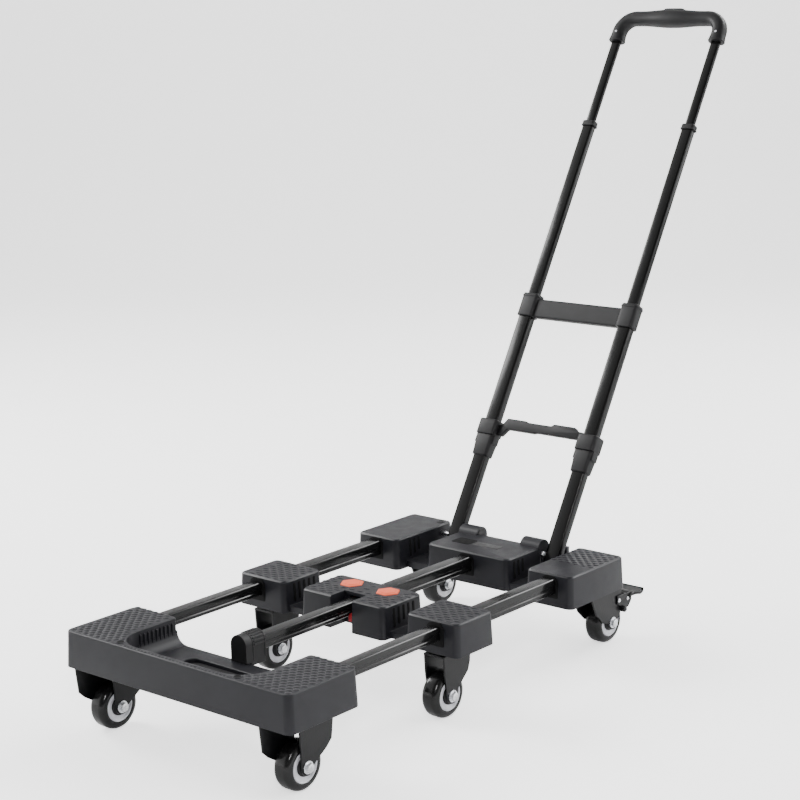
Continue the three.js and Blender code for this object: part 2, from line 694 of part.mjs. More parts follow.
// The foot brake of a rear caster: cheeks outside the fork, a shoe behind the wheel and a foot plate.
function brakePedal(x, axleY) {
  const y = (back) => axleY + back;
  const z = (rise) => axleZ + rise;
  const cheek = polygon([[y(brakePivotBack - 6), z(brakePivotRise - 6)],
    [y(brakeShoeBack - 5), z(brakeShoeRise - 4)], [y(brakeShoeBack + 5), z(brakeShoeRise - 4)],
    [y(brakePlateFront + 7), z(brakePivotRise - 8)],
    [y(brakePlateFront + 7), z(brakePivotRise + 4)], [y(brakePivotBack - 6), z(brakePivotRise + 6)]]);
  const cheekX = legOuter + gap;
  const cheeks = [[x + cheekX, x + cheekX + cheekThickness], [x - cheekX - cheekThickness, x - cheekX]]
    .map(([x0, x1]) => solid(prismAlongX(cheek, x0, x1)));
  const plateBottom = brakePivotRise - 2;
  const plate = prism(roundedOutline(x - brakePlateHalfWidth, y(brakePlateFront), x + brakePlateHalfWidth,
    y(brakePlateRear), 10), z(plateBottom), z(plateBottom + brakePlateThickness));
  const shoe = cylinderAlongX(brakeShoeRadius, x - cheekX - cheekThickness, x + cheekX + cheekThickness,
    y(brakeShoeBack), z(brakeShoeRise), 12);
  return joined(...cheeks, solid(plate), solid(shoe));
}

function addCaster(place, name, side, x, axleY, fork) {
  addTo(cart, `${place}_fork_${name}`, geometryOf(fork), materials.fork());
  addTo(cart, `${place}_tyre_${name}`, geometryOf(solid(tyre(side * x, axleY))), materials.tyre());
  addTo(cart, `${place}_hub_${name}`, geometryOf(solid(hub(side * x, axleY))), materials.hub());
  addTo(cart, `${place}_axle_${name}`, geometryOf(axleBolt(side * x, axleY)), materials.steel());
}

for (const [name, side] of sides) {
  addCaster('front', name, side, frontCasterX, frontCasterY, rigidFork(side * frontCasterX, frontCasterY));
  addCaster('middle', name, side, middleCasterX, middleAxleY,
    swivelFork(side * middleCasterX, middleCasterAxisY, middleAxleY, middleForkOutline));
  addCaster('rear', name, side, rearCasterX, rearAxleY,
    swivelFork(side * rearCasterX, rearCasterAxisY, rearAxleY, rearForkOutline));
  addTo(cart, `brake_pedal_${name}`, geometryOf(brakePedal(side * rearCasterX, rearAxleY)),
    materials.fork());
}

// ---------- handle ----------
// Built upright about its pivot: +Z runs up the tubes, and -Y faces the deck.
const handle = new THREE.Group();
handle.position.set(0, pivotY, pivotZ);
handle.rotation.x = -THREE.MathUtils.degToRad(handleTilt);
cart.add(handle);

function tubeSolid(x, width, depth, z0, z1, grow = 0, radius = tubeCornerRadius) {
  const w = width / 2 + grow;
  const d = depth / 2 + grow;
  return solid(prism(roundedOutline(x - w, -d, x + w, d, Math.max(radius + grow, 0.8)), z0, z1, 2));
}

function hollowTube(x, width, depth, z0, z1) {
  return cut(tubeSolid(x, width, depth, z0, z1), tubeSolid(x, width, depth, z0 - past, z1 + past, -tubeWall));
}

function lowerTube(side) {
  const x = side * tubeX;
  const tube = hollowTube(x, lowerTubeWidth, lowerTubeDepth, -tubeBelowPivot, lowerTubeTop);
  const pinHole = cylinderAlongX(pivotPinRadius + gap, x - lowerTubeWidth, x + lowerTubeWidth, 0, 0, 16);
  return cut(tube, solid(pinHole));
}

function crossbar() {
  const z0 = crossbarRingAt - crossbarRingHeight / 2;
  const z1 = crossbarRingAt + crossbarRingHeight / 2;
  const half = crossbarHeight / 2;
  const depth = crossbarDepth / 2;
  let body = solid(box(-tubeX, tubeX, -depth, depth, crossbarAt - half, crossbarAt + half));
  for (const [, side] of sides) {
    const x = side * tubeX;
    body = body.add(tubeSolid(x, lowerTubeWidth, lowerTubeDepth, z0, z1, collarWall));
    body = cut(body,
      tubeSolid(x, lowerTubeWidth, lowerTubeDepth, z0 - past, lowerTubeTop + gap, gap),
      tubeSolid(x, middleTubeWidth, middleTubeDepth, z0, z1 + past, slideGap));
  }
  return body;
}

function ferrule(side) {
  const x = side * tubeX;
  const z1 = middleTubeTop + 2;
  const ring = tubeSolid(x, middleTubeWidth, middleTubeDepth, z1 - ferruleHeight, z1, ferruleWall);
  return cut(ring,
    tubeSolid(x, middleTubeWidth, middleTubeDepth, z1 - ferruleHeight - past, middleTubeTop + gap, gap),
    tubeSolid(x, topTubeWidth, topTubeDepth, middleTubeTop, z1 + past, slideGap));
}

function lowerSleeve(side) {
  const x = side * tubeX;
  const ring = tubeSolid(x, lowerTubeWidth, lowerTubeDepth, sleeveBottom, sleeveBottom + sleeveHeight,
    sleeveWall);
  return cut(ring, tubeSolid(x, lowerTubeWidth, lowerTubeDepth, 0, lowerTubeTop, gap));
}

// Rings that slide on the tubes above the sleeves, with tongues beside them, tied by a link bar.
function releaseYoke() {
  const z0 = sleeveBottom + sleeveHeight + gap;
  const z1 = z0 + yokeHeight;
  const barTop = z1 + linkBarRise;
  const barDepth = linkBarDepth / 2;
  let body = solid(box(-tubeX, tubeX, -barDepth, barDepth, barTop - linkBarHeight, barTop));
  for (const [, side] of sides) {
    const x = side * tubeX;
    const tongueInner = lowerTubeWidth / 2 + sleeveWall + gap;
    const tongueOuter = lowerTubeWidth / 2 + yokeWall;
    const ring = tubeSolid(x, lowerTubeWidth, lowerTubeDepth, z0, z1, yokeWall);
    const reach = lowerTubeDepth / 2;
    const tongues = [[x + tongueInner, x + tongueOuter], [x - tongueOuter, x - tongueInner]]
      .map(([x0, x1]) => solid(box(x0, x1, -reach, reach, z0 - yokeTongueLength, z0 + past)));
    body = joined(body, ring, ...tongues);
    body = cut(body, tubeSolid(x, lowerTubeWidth, lowerTubeDepth, 0, lowerTubeTop, slideGap));
  }
  return body;
}

function grip() {
  const corner = gripBendRadius;
  const path = [[-tubeX, gripBottom], [-tubeX, gripAt - corner]];
  for (let step = 1; step < 6; step += 1) {
    const turn = (step / 6) * (Math.PI / 2);
    path.push([-tubeX + corner - corner * Math.cos(turn), gripAt - corner + corner * Math.sin(turn)]);
  }
  path.push([-tubeX + corner, gripAt], [0, gripAt]);
  const mirrored = path.slice(0, -1).reverse().map(([x, z]) => [-x, z]);
  const points = [...path, ...mirrored].map(([x, z]) => new THREE.Vector3(x, 0, z));
  const spine = new THREE.CatmullRomCurve3(points, false, 'centripetal');
  const half = gripSection / 2;
  const section = roundedOutline(-half, -half, half, half, half * 0.6);
  const arch = solid(new THREE.ExtrudeGeometry(section, {
    steps: 18, extrudePath: spine, bevelEnabled: false, curveSegments: 1,
  }));
  const profile = [[0.01, -bulgeReach]];
  for (let step = 0; step <= 6; step += 1) {
    const along = -bulgeReach + (2 * bulgeReach * step) / 6;
    const swell = Math.cos((along / bulgeReach) * (Math.PI / 2)) ** 2;
    profile.push([half - 1 + (gripBulge / 2 - half + 1) * swell, along]);
  }
  profile.push([0.01, bulgeReach]);
  const bulge = solid(spunAboutX(profile, 0, 0, gripAt, 10));
  let body = joined(arch, bulge);
  for (const [, side] of sides) {
    const x = side * tubeX;
    body = body.add(tubeSolid(x, topTubeWidth, topTubeDepth, gripBottom, gripAt - corner / 2,
      socketWall + socketSwell));
    body = body.subtract(tubeSolid(x, topTubeWidth, topTubeDepth, gripBottom - past, topTubeTop + gap, gap));
  }
  return body.subtract(gripButtonSolid(true));
}

// The button on the grip, or with `pocket` set the space that it moves in.
function gripButtonSolid(pocket) {
  const grow = pocket ? gap : 0;
  const half = gripButtonLength / 2 + grow;
  const w = gripButtonWidth / 2 + grow;
  const top = gripAt + gripBulge / 2 + gripButtonProud;
  const floor = top - gripButtonDepth - (pocket ? gripButtonProud + gap : 0);
  return solid(prism(roundedOutline(-half, -w, half, w, w - 0.5), floor, top + (pocket ? past : 0), 3));
}

addTo(handle, 'crossbar', geometryOf(crossbar()), materials.housing());
addTo(handle, 'release_yoke', geometryOf(releaseYoke()), materials.housing());
addTo(handle, 'grip', geometryOf(grip()), materials.housing());
addTo(handle, 'grip_button', geometryOf(gripButtonSolid(false)), materials.cover());
for (const [name, side] of sides) {
  const x = side * tubeX;
  addTo(handle, `lower_tube_${name}`, geometryOf(lowerTube(side)), materials.tube());
  addTo(handle, `middle_tube_${name}`,
    geometryOf(hollowTube(x, middleTubeWidth, middleTubeDepth, middleTubeBottom, middleTubeTop)),
    materials.tube());
  addTo(handle, `top_tube_${name}`,
    geometryOf(hollowTube(x, topTubeWidth, topTubeDepth, topTubeBottom, topTubeTop)), materials.tube());
  addTo(handle, `ferrule_${name}`, geometryOf(ferrule(side)), materials.cover());
  addTo(handle, `lower_sleeve_${name}`, geometryOf(lowerSleeve(side)), materials.housing());
}

// The origin is the middle of the cart's box, on the floor.
cart.updateMatrixWorld(true);
const bounds = new THREE.Box3().setFromObject(cart, true);
const centre = bounds.getCenter(new THREE.Vector3());
cart.position.set(-centre.x, -centre.y, -bounds.min.z);
cart.updateMatrixWorld(true);

export default cart;
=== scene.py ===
# %% [markdown]
# A folding luggage cart: three rows of moulded blocks slide along three pairs of steel rails, on six
# casters, with a telescoping handle that leans back from the rear row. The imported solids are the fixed
# frame. Each block, tube and wheel is modelled again here with soft edges and real surface detail, and
# rides on the same body as the solid that it stands for.
# %% The frame and its measures
import json
import math
import bmesh
import bpy
from mathutils import Matrix, Vector


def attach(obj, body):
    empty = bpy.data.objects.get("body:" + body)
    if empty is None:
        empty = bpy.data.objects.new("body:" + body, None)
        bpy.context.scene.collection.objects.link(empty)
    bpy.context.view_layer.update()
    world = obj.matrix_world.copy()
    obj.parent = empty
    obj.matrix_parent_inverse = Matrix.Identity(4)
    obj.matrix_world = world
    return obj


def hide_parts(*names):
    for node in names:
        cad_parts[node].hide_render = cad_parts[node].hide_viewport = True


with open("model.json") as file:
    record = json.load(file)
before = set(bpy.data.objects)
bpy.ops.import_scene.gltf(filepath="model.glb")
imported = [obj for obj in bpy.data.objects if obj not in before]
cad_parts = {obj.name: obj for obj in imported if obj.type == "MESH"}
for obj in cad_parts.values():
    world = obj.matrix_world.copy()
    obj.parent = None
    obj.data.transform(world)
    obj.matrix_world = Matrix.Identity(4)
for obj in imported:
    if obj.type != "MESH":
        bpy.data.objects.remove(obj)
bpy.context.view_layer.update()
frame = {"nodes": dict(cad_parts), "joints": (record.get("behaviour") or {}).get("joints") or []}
MM = 0.001
PIVOT_BACK = 669.8
pivot = Vector(next(j["pos_m"] for j in frame["joints"] if j["name"] == "handle_pivot"))
datum = pivot.y - PIVOT_BACK * MM
slide_axis = next(j["axis"] for j in frame["joints"] if j["name"] == "handle_top_slide")
lean = math.atan2(-slide_axis[1], -slide_axis[2])

# %% [markdown]
# Moulded and bent parts have one thing in common: an outline that is raised to a height, with round
# corners in the outline and soft edges where the top meets the sides. One helper makes that shape from a
# single face: the corners are bevelled as vertices, the face is extruded, then the rims are bevelled as
# edges. Lengths are in millimetres, counted back from the bumper, and become metres in the mesh.
# %% Raising an outline
def raised(points, z0, z1, corners=0, rim=0, foot=0, spread=0, steps=5):
    """A face through the points, raised from z0 to z1. `corners` is one radius or one for each point.
    `rim` and `foot` round the top and bottom edges, and `spread` widens the bottom by that much a side."""
    bm = bmesh.new()
    verts = [bm.verts.new((x, y, z0)) for x, y in points]
    bm.faces.new(verts)
    radii = corners if isinstance(corners, (list, tuple)) else [corners] * len(points)
    for radius in sorted(set(r for r in radii if r > 0)):
        chosen = [v for v in verts if v.is_valid and radii[verts.index(v)] == radius]
        bmesh.ops.bevel(bm, geom=chosen, offset=radius, offset_type="OFFSET", segments=steps, profile=0.5,
                        affect="VERTICES", material=-1)
    top = bmesh.ops.extrude_face_region(bm, geom=bm.faces[:])["geom"]
    bmesh.ops.translate(bm, vec=(0, 0, z1 - z0), verts=[g for g in top if isinstance(g, bmesh.types.BMVert)])
    if spread:
        xs, ys = [p[0] for p in points], [p[1] for p in points]
        middle = Vector(((min(xs) + max(xs)) / 2, (min(ys) + max(ys)) / 2, 0))
        wide, deep = max(xs) - min(xs), max(ys) - min(ys)
        bmesh.ops.scale(bm, vec=(1 + 2 * spread / wide, 1 + 2 * spread / deep, 1),
                        space=Matrix.Translation(-middle),
                        verts=[v for v in bm.verts if abs(v.co.z - z0) < 0.01])
    for level, radius in ((z1, rim), (z0, foot)):
        if radius:
            edges = [e for e in bm.edges if all(abs(v.co.z - level) < 0.01 for v in e.verts)]
            bmesh.ops.bevel(bm, geom=edges, offset=radius, offset_type="OFFSET", segments=3, profile=0.5,
                            affect="EDGES", material=-1, clamp_overlap=True)
    bmesh.ops.recalc_face_normals(bm, faces=bm.faces)
    return bm


def rectangle(x0, x1, y0, y1):
    return [(x0, y0), (x1, y0), (x1, y1), (x0, y1)]


def turned(bm, matrix):
    bmesh.ops.transform(bm, matrix=matrix, verts=bm.verts)
    bmesh.ops.recalc_face_normals(bm, faces=bm.faces)
    return bm


ALONG_X = Matrix(((0, 0, 1, 0), (1, 0, 0, 0), (0, 1, 0, 0), (0, 0, 0, 1)))
ALONG_Y = Matrix(((1, 0, 0, 0), (0, 0, 1, 0), (0, 1, 0, 0), (0, 0, 0, 1)))


# %% [markdown]
# Wheels, hubs, bolts and rivets are turned parts. Their half section is a short row of points, and
# bmesh's spin turns it once round the axis, with its ends welded, so it closes without a seam.
# %% Turning a profile
def turned_part(profile, x, y, z, axis="X", steps=48):
    """Spins [radius, along] points round an axis through x, y, z."""
    bm = bmesh.new()
    verts = [bm.verts.new((along, 0, radius)) for radius, along in profile]
    for a, b in zip(verts, verts[1:]):
        bm.edges.new((a, b))
    bmesh.ops.spin(bm, geom=bm.verts[:] + bm.edges[:], cent=(0, 0, 0), axis=(1, 0, 0), angle=2 * math.pi,
                   steps=steps, use_merge=True)
    bmesh.ops.remove_doubles(bm, verts=bm.verts, dist=0.001)
    turn = {"X": Matrix.Identity(4), "Y": Matrix.Rotation(math.pi / 2, 4, "Z"),
            "Z": Matrix.Rotation(-math.pi / 2, 4, "Y")}[axis]
    return turned(bm, Matrix.Translation((x, y, z)) @ turn)


def hexagon(radius, x0, x1, y, z, rim=0.8):
    points = [(radius * math.cos(math.radians(60 * i + 15)), radius * math.sin(math.radians(60 * i + 15)))
              for i in range(6)]
    bm = raised([(y + a, z + b) for a, b in points], x0, x1, 0, rim if x1 > 0 else 0, 0 if x1 > 0 else rim)
    return turned(bm, ALONG_X)


# %% [markdown]
# Every piece ends the same way: its parts are gathered in one mesh, put in the frame's metres, shaded
# smooth except across sharp edges, given its finish, and set to ride on its body. The handle's pieces are
# drawn upright about the pivot and leaned back here, in their mesh, so their objects stay unturned.
# %% Gathering a piece
STAND = Matrix.Translation((0, datum, 0)) @ Matrix.Scale(MM, 4)
LEAN = Matrix.Translation(pivot) @ Matrix.Rotation(-lean, 4, "X") @ Matrix.Scale(MM, 4)
made = {}


def piece(name, parts, body, finish, nodes=(), place=STAND, sharp=32):
    whole = bmesh.new()
    for part in parts:
        spare = bpy.data.meshes.new("spare")
        part.to_mesh(spare)
        part.free()
        whole.from_mesh(spare)
        bpy.data.meshes.remove(spare)
    bmesh.ops.transform(whole, matrix=place, verts=whole.verts)
    mesh = bpy.data.meshes.new(name)
    whole.to_mesh(mesh)
    whole.free()
    mesh.shade_smooth()
    mesh.set_sharp_from_angle(angle=math.radians(sharp))
    mesh.materials.append(finish)
    thing = bpy.data.objects.new(name, mesh)
    bpy.context.scene.collection.objects.link(thing)
    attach(thing, body)
    if nodes:
        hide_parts(*nodes)
    made[name] = len(mesh.polygons)
    return thing


# %% [markdown]
# A finish is a little network of nodes. Written out link by link it is hard to read, so a small class
# lets a number that varies over the surface be written as ordinary arithmetic: `a * 0.5 + b` makes the
# Math nodes and joins them. One method adds any other kind of node.
# %% Arithmetic on surfaces
class Field:
    def __init__(self, tree, socket):
        self.tree, self.socket = tree, socket

    def _math(self, operation, *values):
        node = self.tree.nodes.new("ShaderNodeMath")
        node.operation = operation
        for slot_, value in zip(node.inputs, (self, *values)):
            if isinstance(value, Field):
                self.tree.links.new(value.socket, slot_)
            else:
                slot_.default_value = value
        return Field(self.tree, node.outputs[0])

    def __add__(self, other):
        return self._math("ADD", other)

    def __mul__(self, other):
        return self._math("MULTIPLY", other)

    def node(self, kind, output=0, settings=None, **inputs):
        made_node = self.tree.nodes.new(kind)
        for key, value in (settings or {}).items():
            setattr(made_node, key, value)
        for key, value in inputs.items():
            slot_ = made_node.inputs[key.replace("_", " ")]
            if isinstance(value, Field):
                self.tree.links.new(value.socket, slot_)
            else:
                slot_.default_value = value
        return Field(self.tree, made_node.outputs[output])


# %% [markdown]
# All finishes start from a place on the object and a Principled shader. Numbers that are the same all
# over are set on the shader; colour, roughness and the bump of the surface are built from noise at the
# real scale, so a mould's grain is a fraction of a millimetre and a scuff a few centimetres.
# %% Starting a finish
def finish_start(name, colour, roughness, metallic=0.0, coat=0.0, coat_roughness=0.1, specular=0.5):
    material = bpy.data.materials.new(name)
    material.use_nodes = True
    tree = material.node_tree
    shader = tree.nodes["Principled BSDF"]
    shader.inputs["Base Color"].default_value = (*colour, 1)
    shader.inputs["Roughness"].default_value = roughness
    shader.inputs["Metallic"].default_value = metallic
    shader.inputs["Coat Weight"].default_value = coat
    shader.inputs["Coat Roughness"].default_value = coat_roughness
    shader.inputs["Specular IOR Level"].default_value = specular
    coordinates = tree.nodes.new("ShaderNodeTexCoord")
    return material, shader, Field(tree, coordinates.outputs["Object"])


def noise(place, scale, detail=3.0, roughness=0.55):
    return place.node("ShaderNodeTexNoise", 0, None, Vector=place, Scale=scale, Detail=detail,
                      Roughness=roughness)


def ramp(value, low, high, to_low=0.0, to_high=1.0):
    return value.node("ShaderNodeMapRange", 0, {"clamp": True}, Value=value, From_Min=low, From_Max=high,
                      To_Min=to_low, To_Max=to_high)


def tint(shader, amount, dark, light):
    mixed = amount.node("ShaderNodeMix", 2, {"data_type": "RGBA"}, Factor=amount)
    mixer = mixed.socket.node
    mixer.inputs["A"].default_value, mixer.inputs["B"].default_value = (*dark, 1), (*light, 1)
    amount.tree.links.new(mixer.outputs[2], shader.inputs["Base Color"])


def rough(shader, value):
    value.tree.links.new(value.socket, shader.inputs["Roughness"])


def relief(shader, height, distance, strength=1.0):
    bump = height.node("ShaderNodeBump", 0, None, Height=height, Distance=distance, Strength=strength)
    height.tree.links.new(bump.socket, shader.inputs["Normal"])


# %% [markdown]
# The blocks are moulded in a charcoal plastic with a fine spark-eroded grain, slightly cloudy where the
# melt cooled at different speeds. The handle's plastic is a little darker, and small caps, keys and knobs
# are a nearly black plastic. The near black inside wells and recesses is painted shade, set further on.
# %% Moulded plastic
def moulded_plastic(name, colour, gloss=0.38):
    material, shader, place = finish_start(name, colour, gloss, specular=0.26)
    grain = noise(place, 1400.0, 2.0)
    cloudy = noise(place, 22.0, 4.0)
    light = tuple(min(1, c * 1.2) for c in colour)
    tint(shader, ramp(cloudy, 0.35, 0.7), tuple(c * 0.9 for c in colour), light)
    rough(shader, ramp(noise(place, 60.0, 4.0) * 0.7 + grain * 0.3, 0.3, 0.7, gloss - 0.05, gloss + 0.08))
    relief(shader, grain * 0.05, 1.0 * MM, 0.9)
    return material


charcoal = (0.0088, 0.0088, 0.0116)
bumper_plastic = moulded_plastic("bumper_plastic", charcoal)
middle_plastic = moulded_plastic("middle_plastic", charcoal)
rear_plastic = moulded_plastic("rear_plastic", charcoal, gloss=0.36)
handle_plastic = moulded_plastic("handle_plastic", (0.0055, 0.0055, 0.0062), gloss=0.46)
dark_plastic = moulded_plastic("dark_plastic", (0.006, 0.006, 0.0066), gloss=0.45)
cover_plastic = moulded_plastic("cover_plastic", (0.009, 0.009, 0.0098), gloss=0.55)
print("plastics", len(bpy.data.materials))

# %% [markdown]
# The rails and tubes are powder-coated black and then clear-coated: dark, with a slight orange-peel
# ripple under a hard gloss. The fine lines of wear along their length come from noise that is stretched
# by a Mapping node, and only touch the roughness.
# %% Gloss paint, satin paint and bare metal
def gloss_paint(name, colour, gloss, peel=0.06, stretch=(1, 0.03, 1), coat=0.1):
    material, shader, place = finish_start(name, colour, gloss, coat=coat, coat_roughness=0.08, specular=0.22)
    drawn = place.node("ShaderNodeMapping", 0, None, Vector=place, Scale=stretch)
    streaks = noise(drawn, 900.0, 3.0)
    rough(shader, ramp(streaks, 0.35, 0.8, gloss, gloss + 0.06))
    darker, lighter = tuple(c * 0.85 for c in colour), tuple(c * 1.3 for c in colour)
    tint(shader, ramp(noise(place, 14.0, 3.0), 0.35, 0.7), darker, lighter)
    relief(shader, noise(place, 420.0, 2.0) * peel, 0.4 * MM, 0.5)
    return material


rail_paint = gloss_paint("rail_paint", (0.004, 0.004, 0.0042), 0.18, coat=0.2)
tube_paint = gloss_paint("tube_paint", (0.003, 0.003, 0.003), 0.16, stretch=(1, 0.03, 0.03), coat=0.0)
fork_paint = gloss_paint("fork_paint", (0.0045, 0.0045, 0.0052), 0.3, 0.5, (1, 1, 1), 0.05)


def bare_metal(name, colour, gloss):
    material, shader, place = finish_start(name, colour, gloss, metallic=1.0)
    rough(shader, ramp(noise(place, 700.0, 4.0), 0.3, 0.7, gloss, gloss + 0.2))
    tint(shader, ramp(noise(place, 120.0, 3.0), 0.4, 0.65), tuple(c * 0.8 for c in colour), colour)
    relief(shader, noise(place, 900.0, 2.0), 0.1 * MM, 0.3)
    return material


zinc = bare_metal("zinc", (0.86, 0.87, 0.9), 0.18)

# %% [markdown]
# The tyres are polished black rubber, the wheel's rim is a pale grey plastic
# with a little grime, the buttons are salmon plastic with a soft sheen, and the catch is red plastic,
# darkened further as painted shade for the shadow it sits in. The nearly black finish is painted shade,
# laid where wells, slots, mouths and recesses would lie in shadow.
# %% Rubber, rims, buttons
def plain_finish(name, dark, light, gloss, scale, fine=0.2, specular=0.5):
    material, shader, place = finish_start(name, light, gloss, specular=specular)
    tint(shader, ramp(noise(place, scale, 4.0), 0.35, 0.65), dark, light)
    rough(shader, ramp(noise(place, scale * 3, 3.0), 0.3, 0.7, gloss - 0.04, gloss + 0.1))
    relief(shader, noise(place, 1100.0, 2.0) * fine, 0.3 * MM, 0.5)
    return material


tyre_rubber = plain_finish("tyre_rubber", (0.004, 0.004, 0.004), (0.007, 0.007, 0.0072), 0.14, 40.0,
                           fine=0.1, specular=0.3)
rim_plastic = plain_finish("rim_plastic", (0.5, 0.5, 0.54), (0.66, 0.66, 0.7), 0.32, 60.0)
button_plastic = plain_finish("button_plastic", (0.78, 0.13, 0.06), (0.84, 0.155, 0.075), 0.5, 30.0,
                              specular=0.2)
# Painted shade: the catch's red is darkened below its own colour for the shadow it sits in.
catch_red_and_painted_shade = plain_finish("catch_red_and_painted_shade", (0.22, 0.004, 0.008), (0.28, 0.006, 0.01), 0.45, 50.0,
                             specular=0.25)
label_finish = plain_finish("label_finish", (0.022, 0.0215, 0.022), (0.03, 0.029, 0.03), 0.4, 50.0)
# Painted shade: a nearly black finish for the shadowed insides of wells, slots, mouths and recesses.
painted_shade_finish = plain_finish("painted_shade_finish", (0.003, 0.003, 0.0032), (0.005, 0.005, 0.0052), 0.7, 50.0,
                             specular=0.12)
print("finishes", len(bpy.data.materials))

# %% [markdown]
# The front bumper is one moulding: a low slab, and over it a wall that runs round three sides and widens
# into a pad at each end. Seen from above the wall and pads are one U, so one outline is enough, with
# large round corners inside where the pads meet the thin front wall. The sides lean out a little
# downwards, which is the draft that lets a moulding leave its mould.
# %% Front bumper
TOP, SHELF = 138.0, 103.0
BUMPER_HALF, BUMPER_FRONT, BUMPER_REAR = 194.5, -3.5, 119
PAD_INNER, WALL_BACK, HOLLOW_ROUND = 117, 7.3, 44
bumper_outline = [(-BUMPER_HALF, BUMPER_FRONT), (BUMPER_HALF, BUMPER_FRONT), (BUMPER_HALF, BUMPER_REAR),
                  (PAD_INNER, BUMPER_REAR), (PAD_INNER, WALL_BACK), (-PAD_INNER, WALL_BACK),
                  (-PAD_INNER, BUMPER_REAR), (-BUMPER_HALF, BUMPER_REAR)]
bumper_u = raised(bumper_outline, 89.5, TOP, [10, 10, 10, 5, HOLLOW_ROUND, HOLLOW_ROUND, 5, 10],
                  1.6, 0.8, 2, 12)


def slotted_beam():
    """The slab between the pads, with a long slot through it."""
    underside = 90.4
    bm = bmesh.new()
    outer = [(-119, 5), (119, 5), (119, 118.6), (-119, 118.6)]
    slot_ = [(-62, 66), (62, 66), (62, 92), (-62, 92)]
    for points, radius in ((outer, 0), (slot_, 12.9)):
        verts = [bm.verts.new((x, y, underside)) for x, y in points]
        edges = [bm.edges.new((verts[i - 1], verts[i])) for i in range(4)]
        if radius:
            bmesh.ops.bevel(bm, geom=verts, offset=radius, segments=8, profile=0.5, affect="VERTICES",
                            material=-1)
    bmesh.ops.triangle_fill(bm, edges=bm.edges[:], use_beauty=True)
    up = bmesh.ops.extrude_face_region(bm, geom=bm.faces[:])["geom"]
    bmesh.ops.translate(bm, vec=(0, 0, SHELF - underside),
                        verts=[g for g in up if isinstance(g, bmesh.types.BMVert)])
    rims = [e for e in bm.edges if len(e.link_faces) == 2 and all(abs(v.co.z - SHELF) < 0.01 for v in e.verts)
            and e.calc_face_angle(0) > 0.5]
    bmesh.ops.bevel(bm, geom=rims, offset=1.2, segments=3, profile=0.5, affect="EDGES", material=-1)
    bmesh.ops.recalc_face_normals(bm, faces=bm.faces)
    return bm


def cove(side):
    """The hollow curve between a pad's inner wall and the beam."""
    r = 17.0
    behind = PAD_INNER + 1.5
    arc = [(PAD_INNER - r + r * math.sin(math.radians(a)), SHELF + r - r * math.cos(math.radians(a)))
           for a in range(0, 91, 10)]
    section = [(behind, SHELF - 2), (PAD_INNER - r, SHELF - 2)] + arc + [(behind, SHELF + r)]
    points = [(side * x, z) for x, z in section]
    return turned(raised(points, 50, 118.4, 0), ALONG_Y)


pad_ribs = [turned_part([(0.001, 112), (0.9, 112), (1.5, 131), (0.001, 133)], side * PAD_INNER, y, 0, "Z", 10)
            for side in (-1, 1) for y in range(54, 114, 7)]
piece("bumper_moulding", [bumper_u, slotted_beam(), cove(-1), cove(1), *pad_ribs], "front", bumper_plastic,
      ["front_bumper"])
print("bumper", made["bumper_moulding"])

# %% [markdown]
# The blocks' tops are not smooth: they carry a tread of low domes in staggered rows, so that a suitcase
# does not slide. Each dome is a turned cap with only a few faces, since there are hundreds of them. On
# the middle row they are long ripples, and on the right rear block they stand in diagonal rows.
# %% Treads on the blocks
def dome(x, y, radius, height, stretch=1.0, steps=8):
    bm = turned_part([(0.001, height), (radius * 0.6, height * 0.72), (radius, -0.1)], 0, 0, 0, "Z", steps)
    grow = Matrix.Translation((x, y, TOP)) @ Matrix.Diagonal((stretch, 1, 1, 1))
    return turned(bm, grow)


def in_recess(x, y):
    """Whether a dome there would reach over the hollow between the pads, with its round corners."""
    margin, lip = 4.5, 3
    if abs(x) > PAD_INNER + margin or y < lip:
        return False
    corner_x, corner_y = PAD_INNER - HOLLOW_ROUND, WALL_BACK + HOLLOW_ROUND
    if abs(x) > corner_x and y < corner_y:
        return math.hypot(abs(x) - corner_x, y - corner_y) < HOLLOW_ROUND + margin
    return y > lip


SCREW_X, SCREW_Y = 102, 8
tread = []
for row in range(17):
    y = 4.2 + row * 6.9
    for column in range(-17, 18):
        x = (column + 0.5 * (row % 2)) * 11.0
        near_screw = math.hypot(abs(x) - SCREW_X, y - SCREW_Y) < 9
        if 6 < abs(x) < 189.5 and not in_recess(x, y) and not near_screw and (abs(x) > 92 or y < 2):
            tread.append(dome(x, y, 4.6, 1.1, 1.15))
front_lip = [dome(4.0 + 6.2 * i - 92, 1.4, 2.2, 0.6, 1.3, 6) for i in range(30)]
piece("bumper_tread", tread + front_lip, "front", bumper_plastic, sharp=70)

BUTTON_X, BUTTON_Y = 32, 366.5
middle_tread = []
for row in range(10):
    y = 318 + row * 6.9
    for column in range(-12, 13):
        x = (column + 0.5 * (row % 2)) * 14.6
        on_side = 113 < abs(x) < 188.5 and 316 < y < 385
        on_centre = abs(x) < 66 and 312 < y < 386 and not (abs(x) < 26 and y < 344)
        near_button = abs(abs(x) - BUTTON_X) < 25 and abs(y - BUTTON_Y) < 19
        if on_side or (on_centre and not near_button):
            middle_tread.append(dome(x, y, 3.3, 1.0, 2.1))
piece("middle_tread", middle_tread, "middle", middle_plastic, sharp=70)

rear_tread = []
for row in range(13):
    for column in range(14):
        x = 124 + (column - row) * 6.4 + 24
        y = 624 + (column + row) * 6.4 - 64
        if 122 < x < 188 and 618 < y < 690:
            rear_tread.append(dome(x, y, 4.9, 0.8))
piece("rear_tread", rear_tread, "rear", rear_plastic, sharp=70)
print("domes", len(tread), len(middle_tread), len(rear_tread))
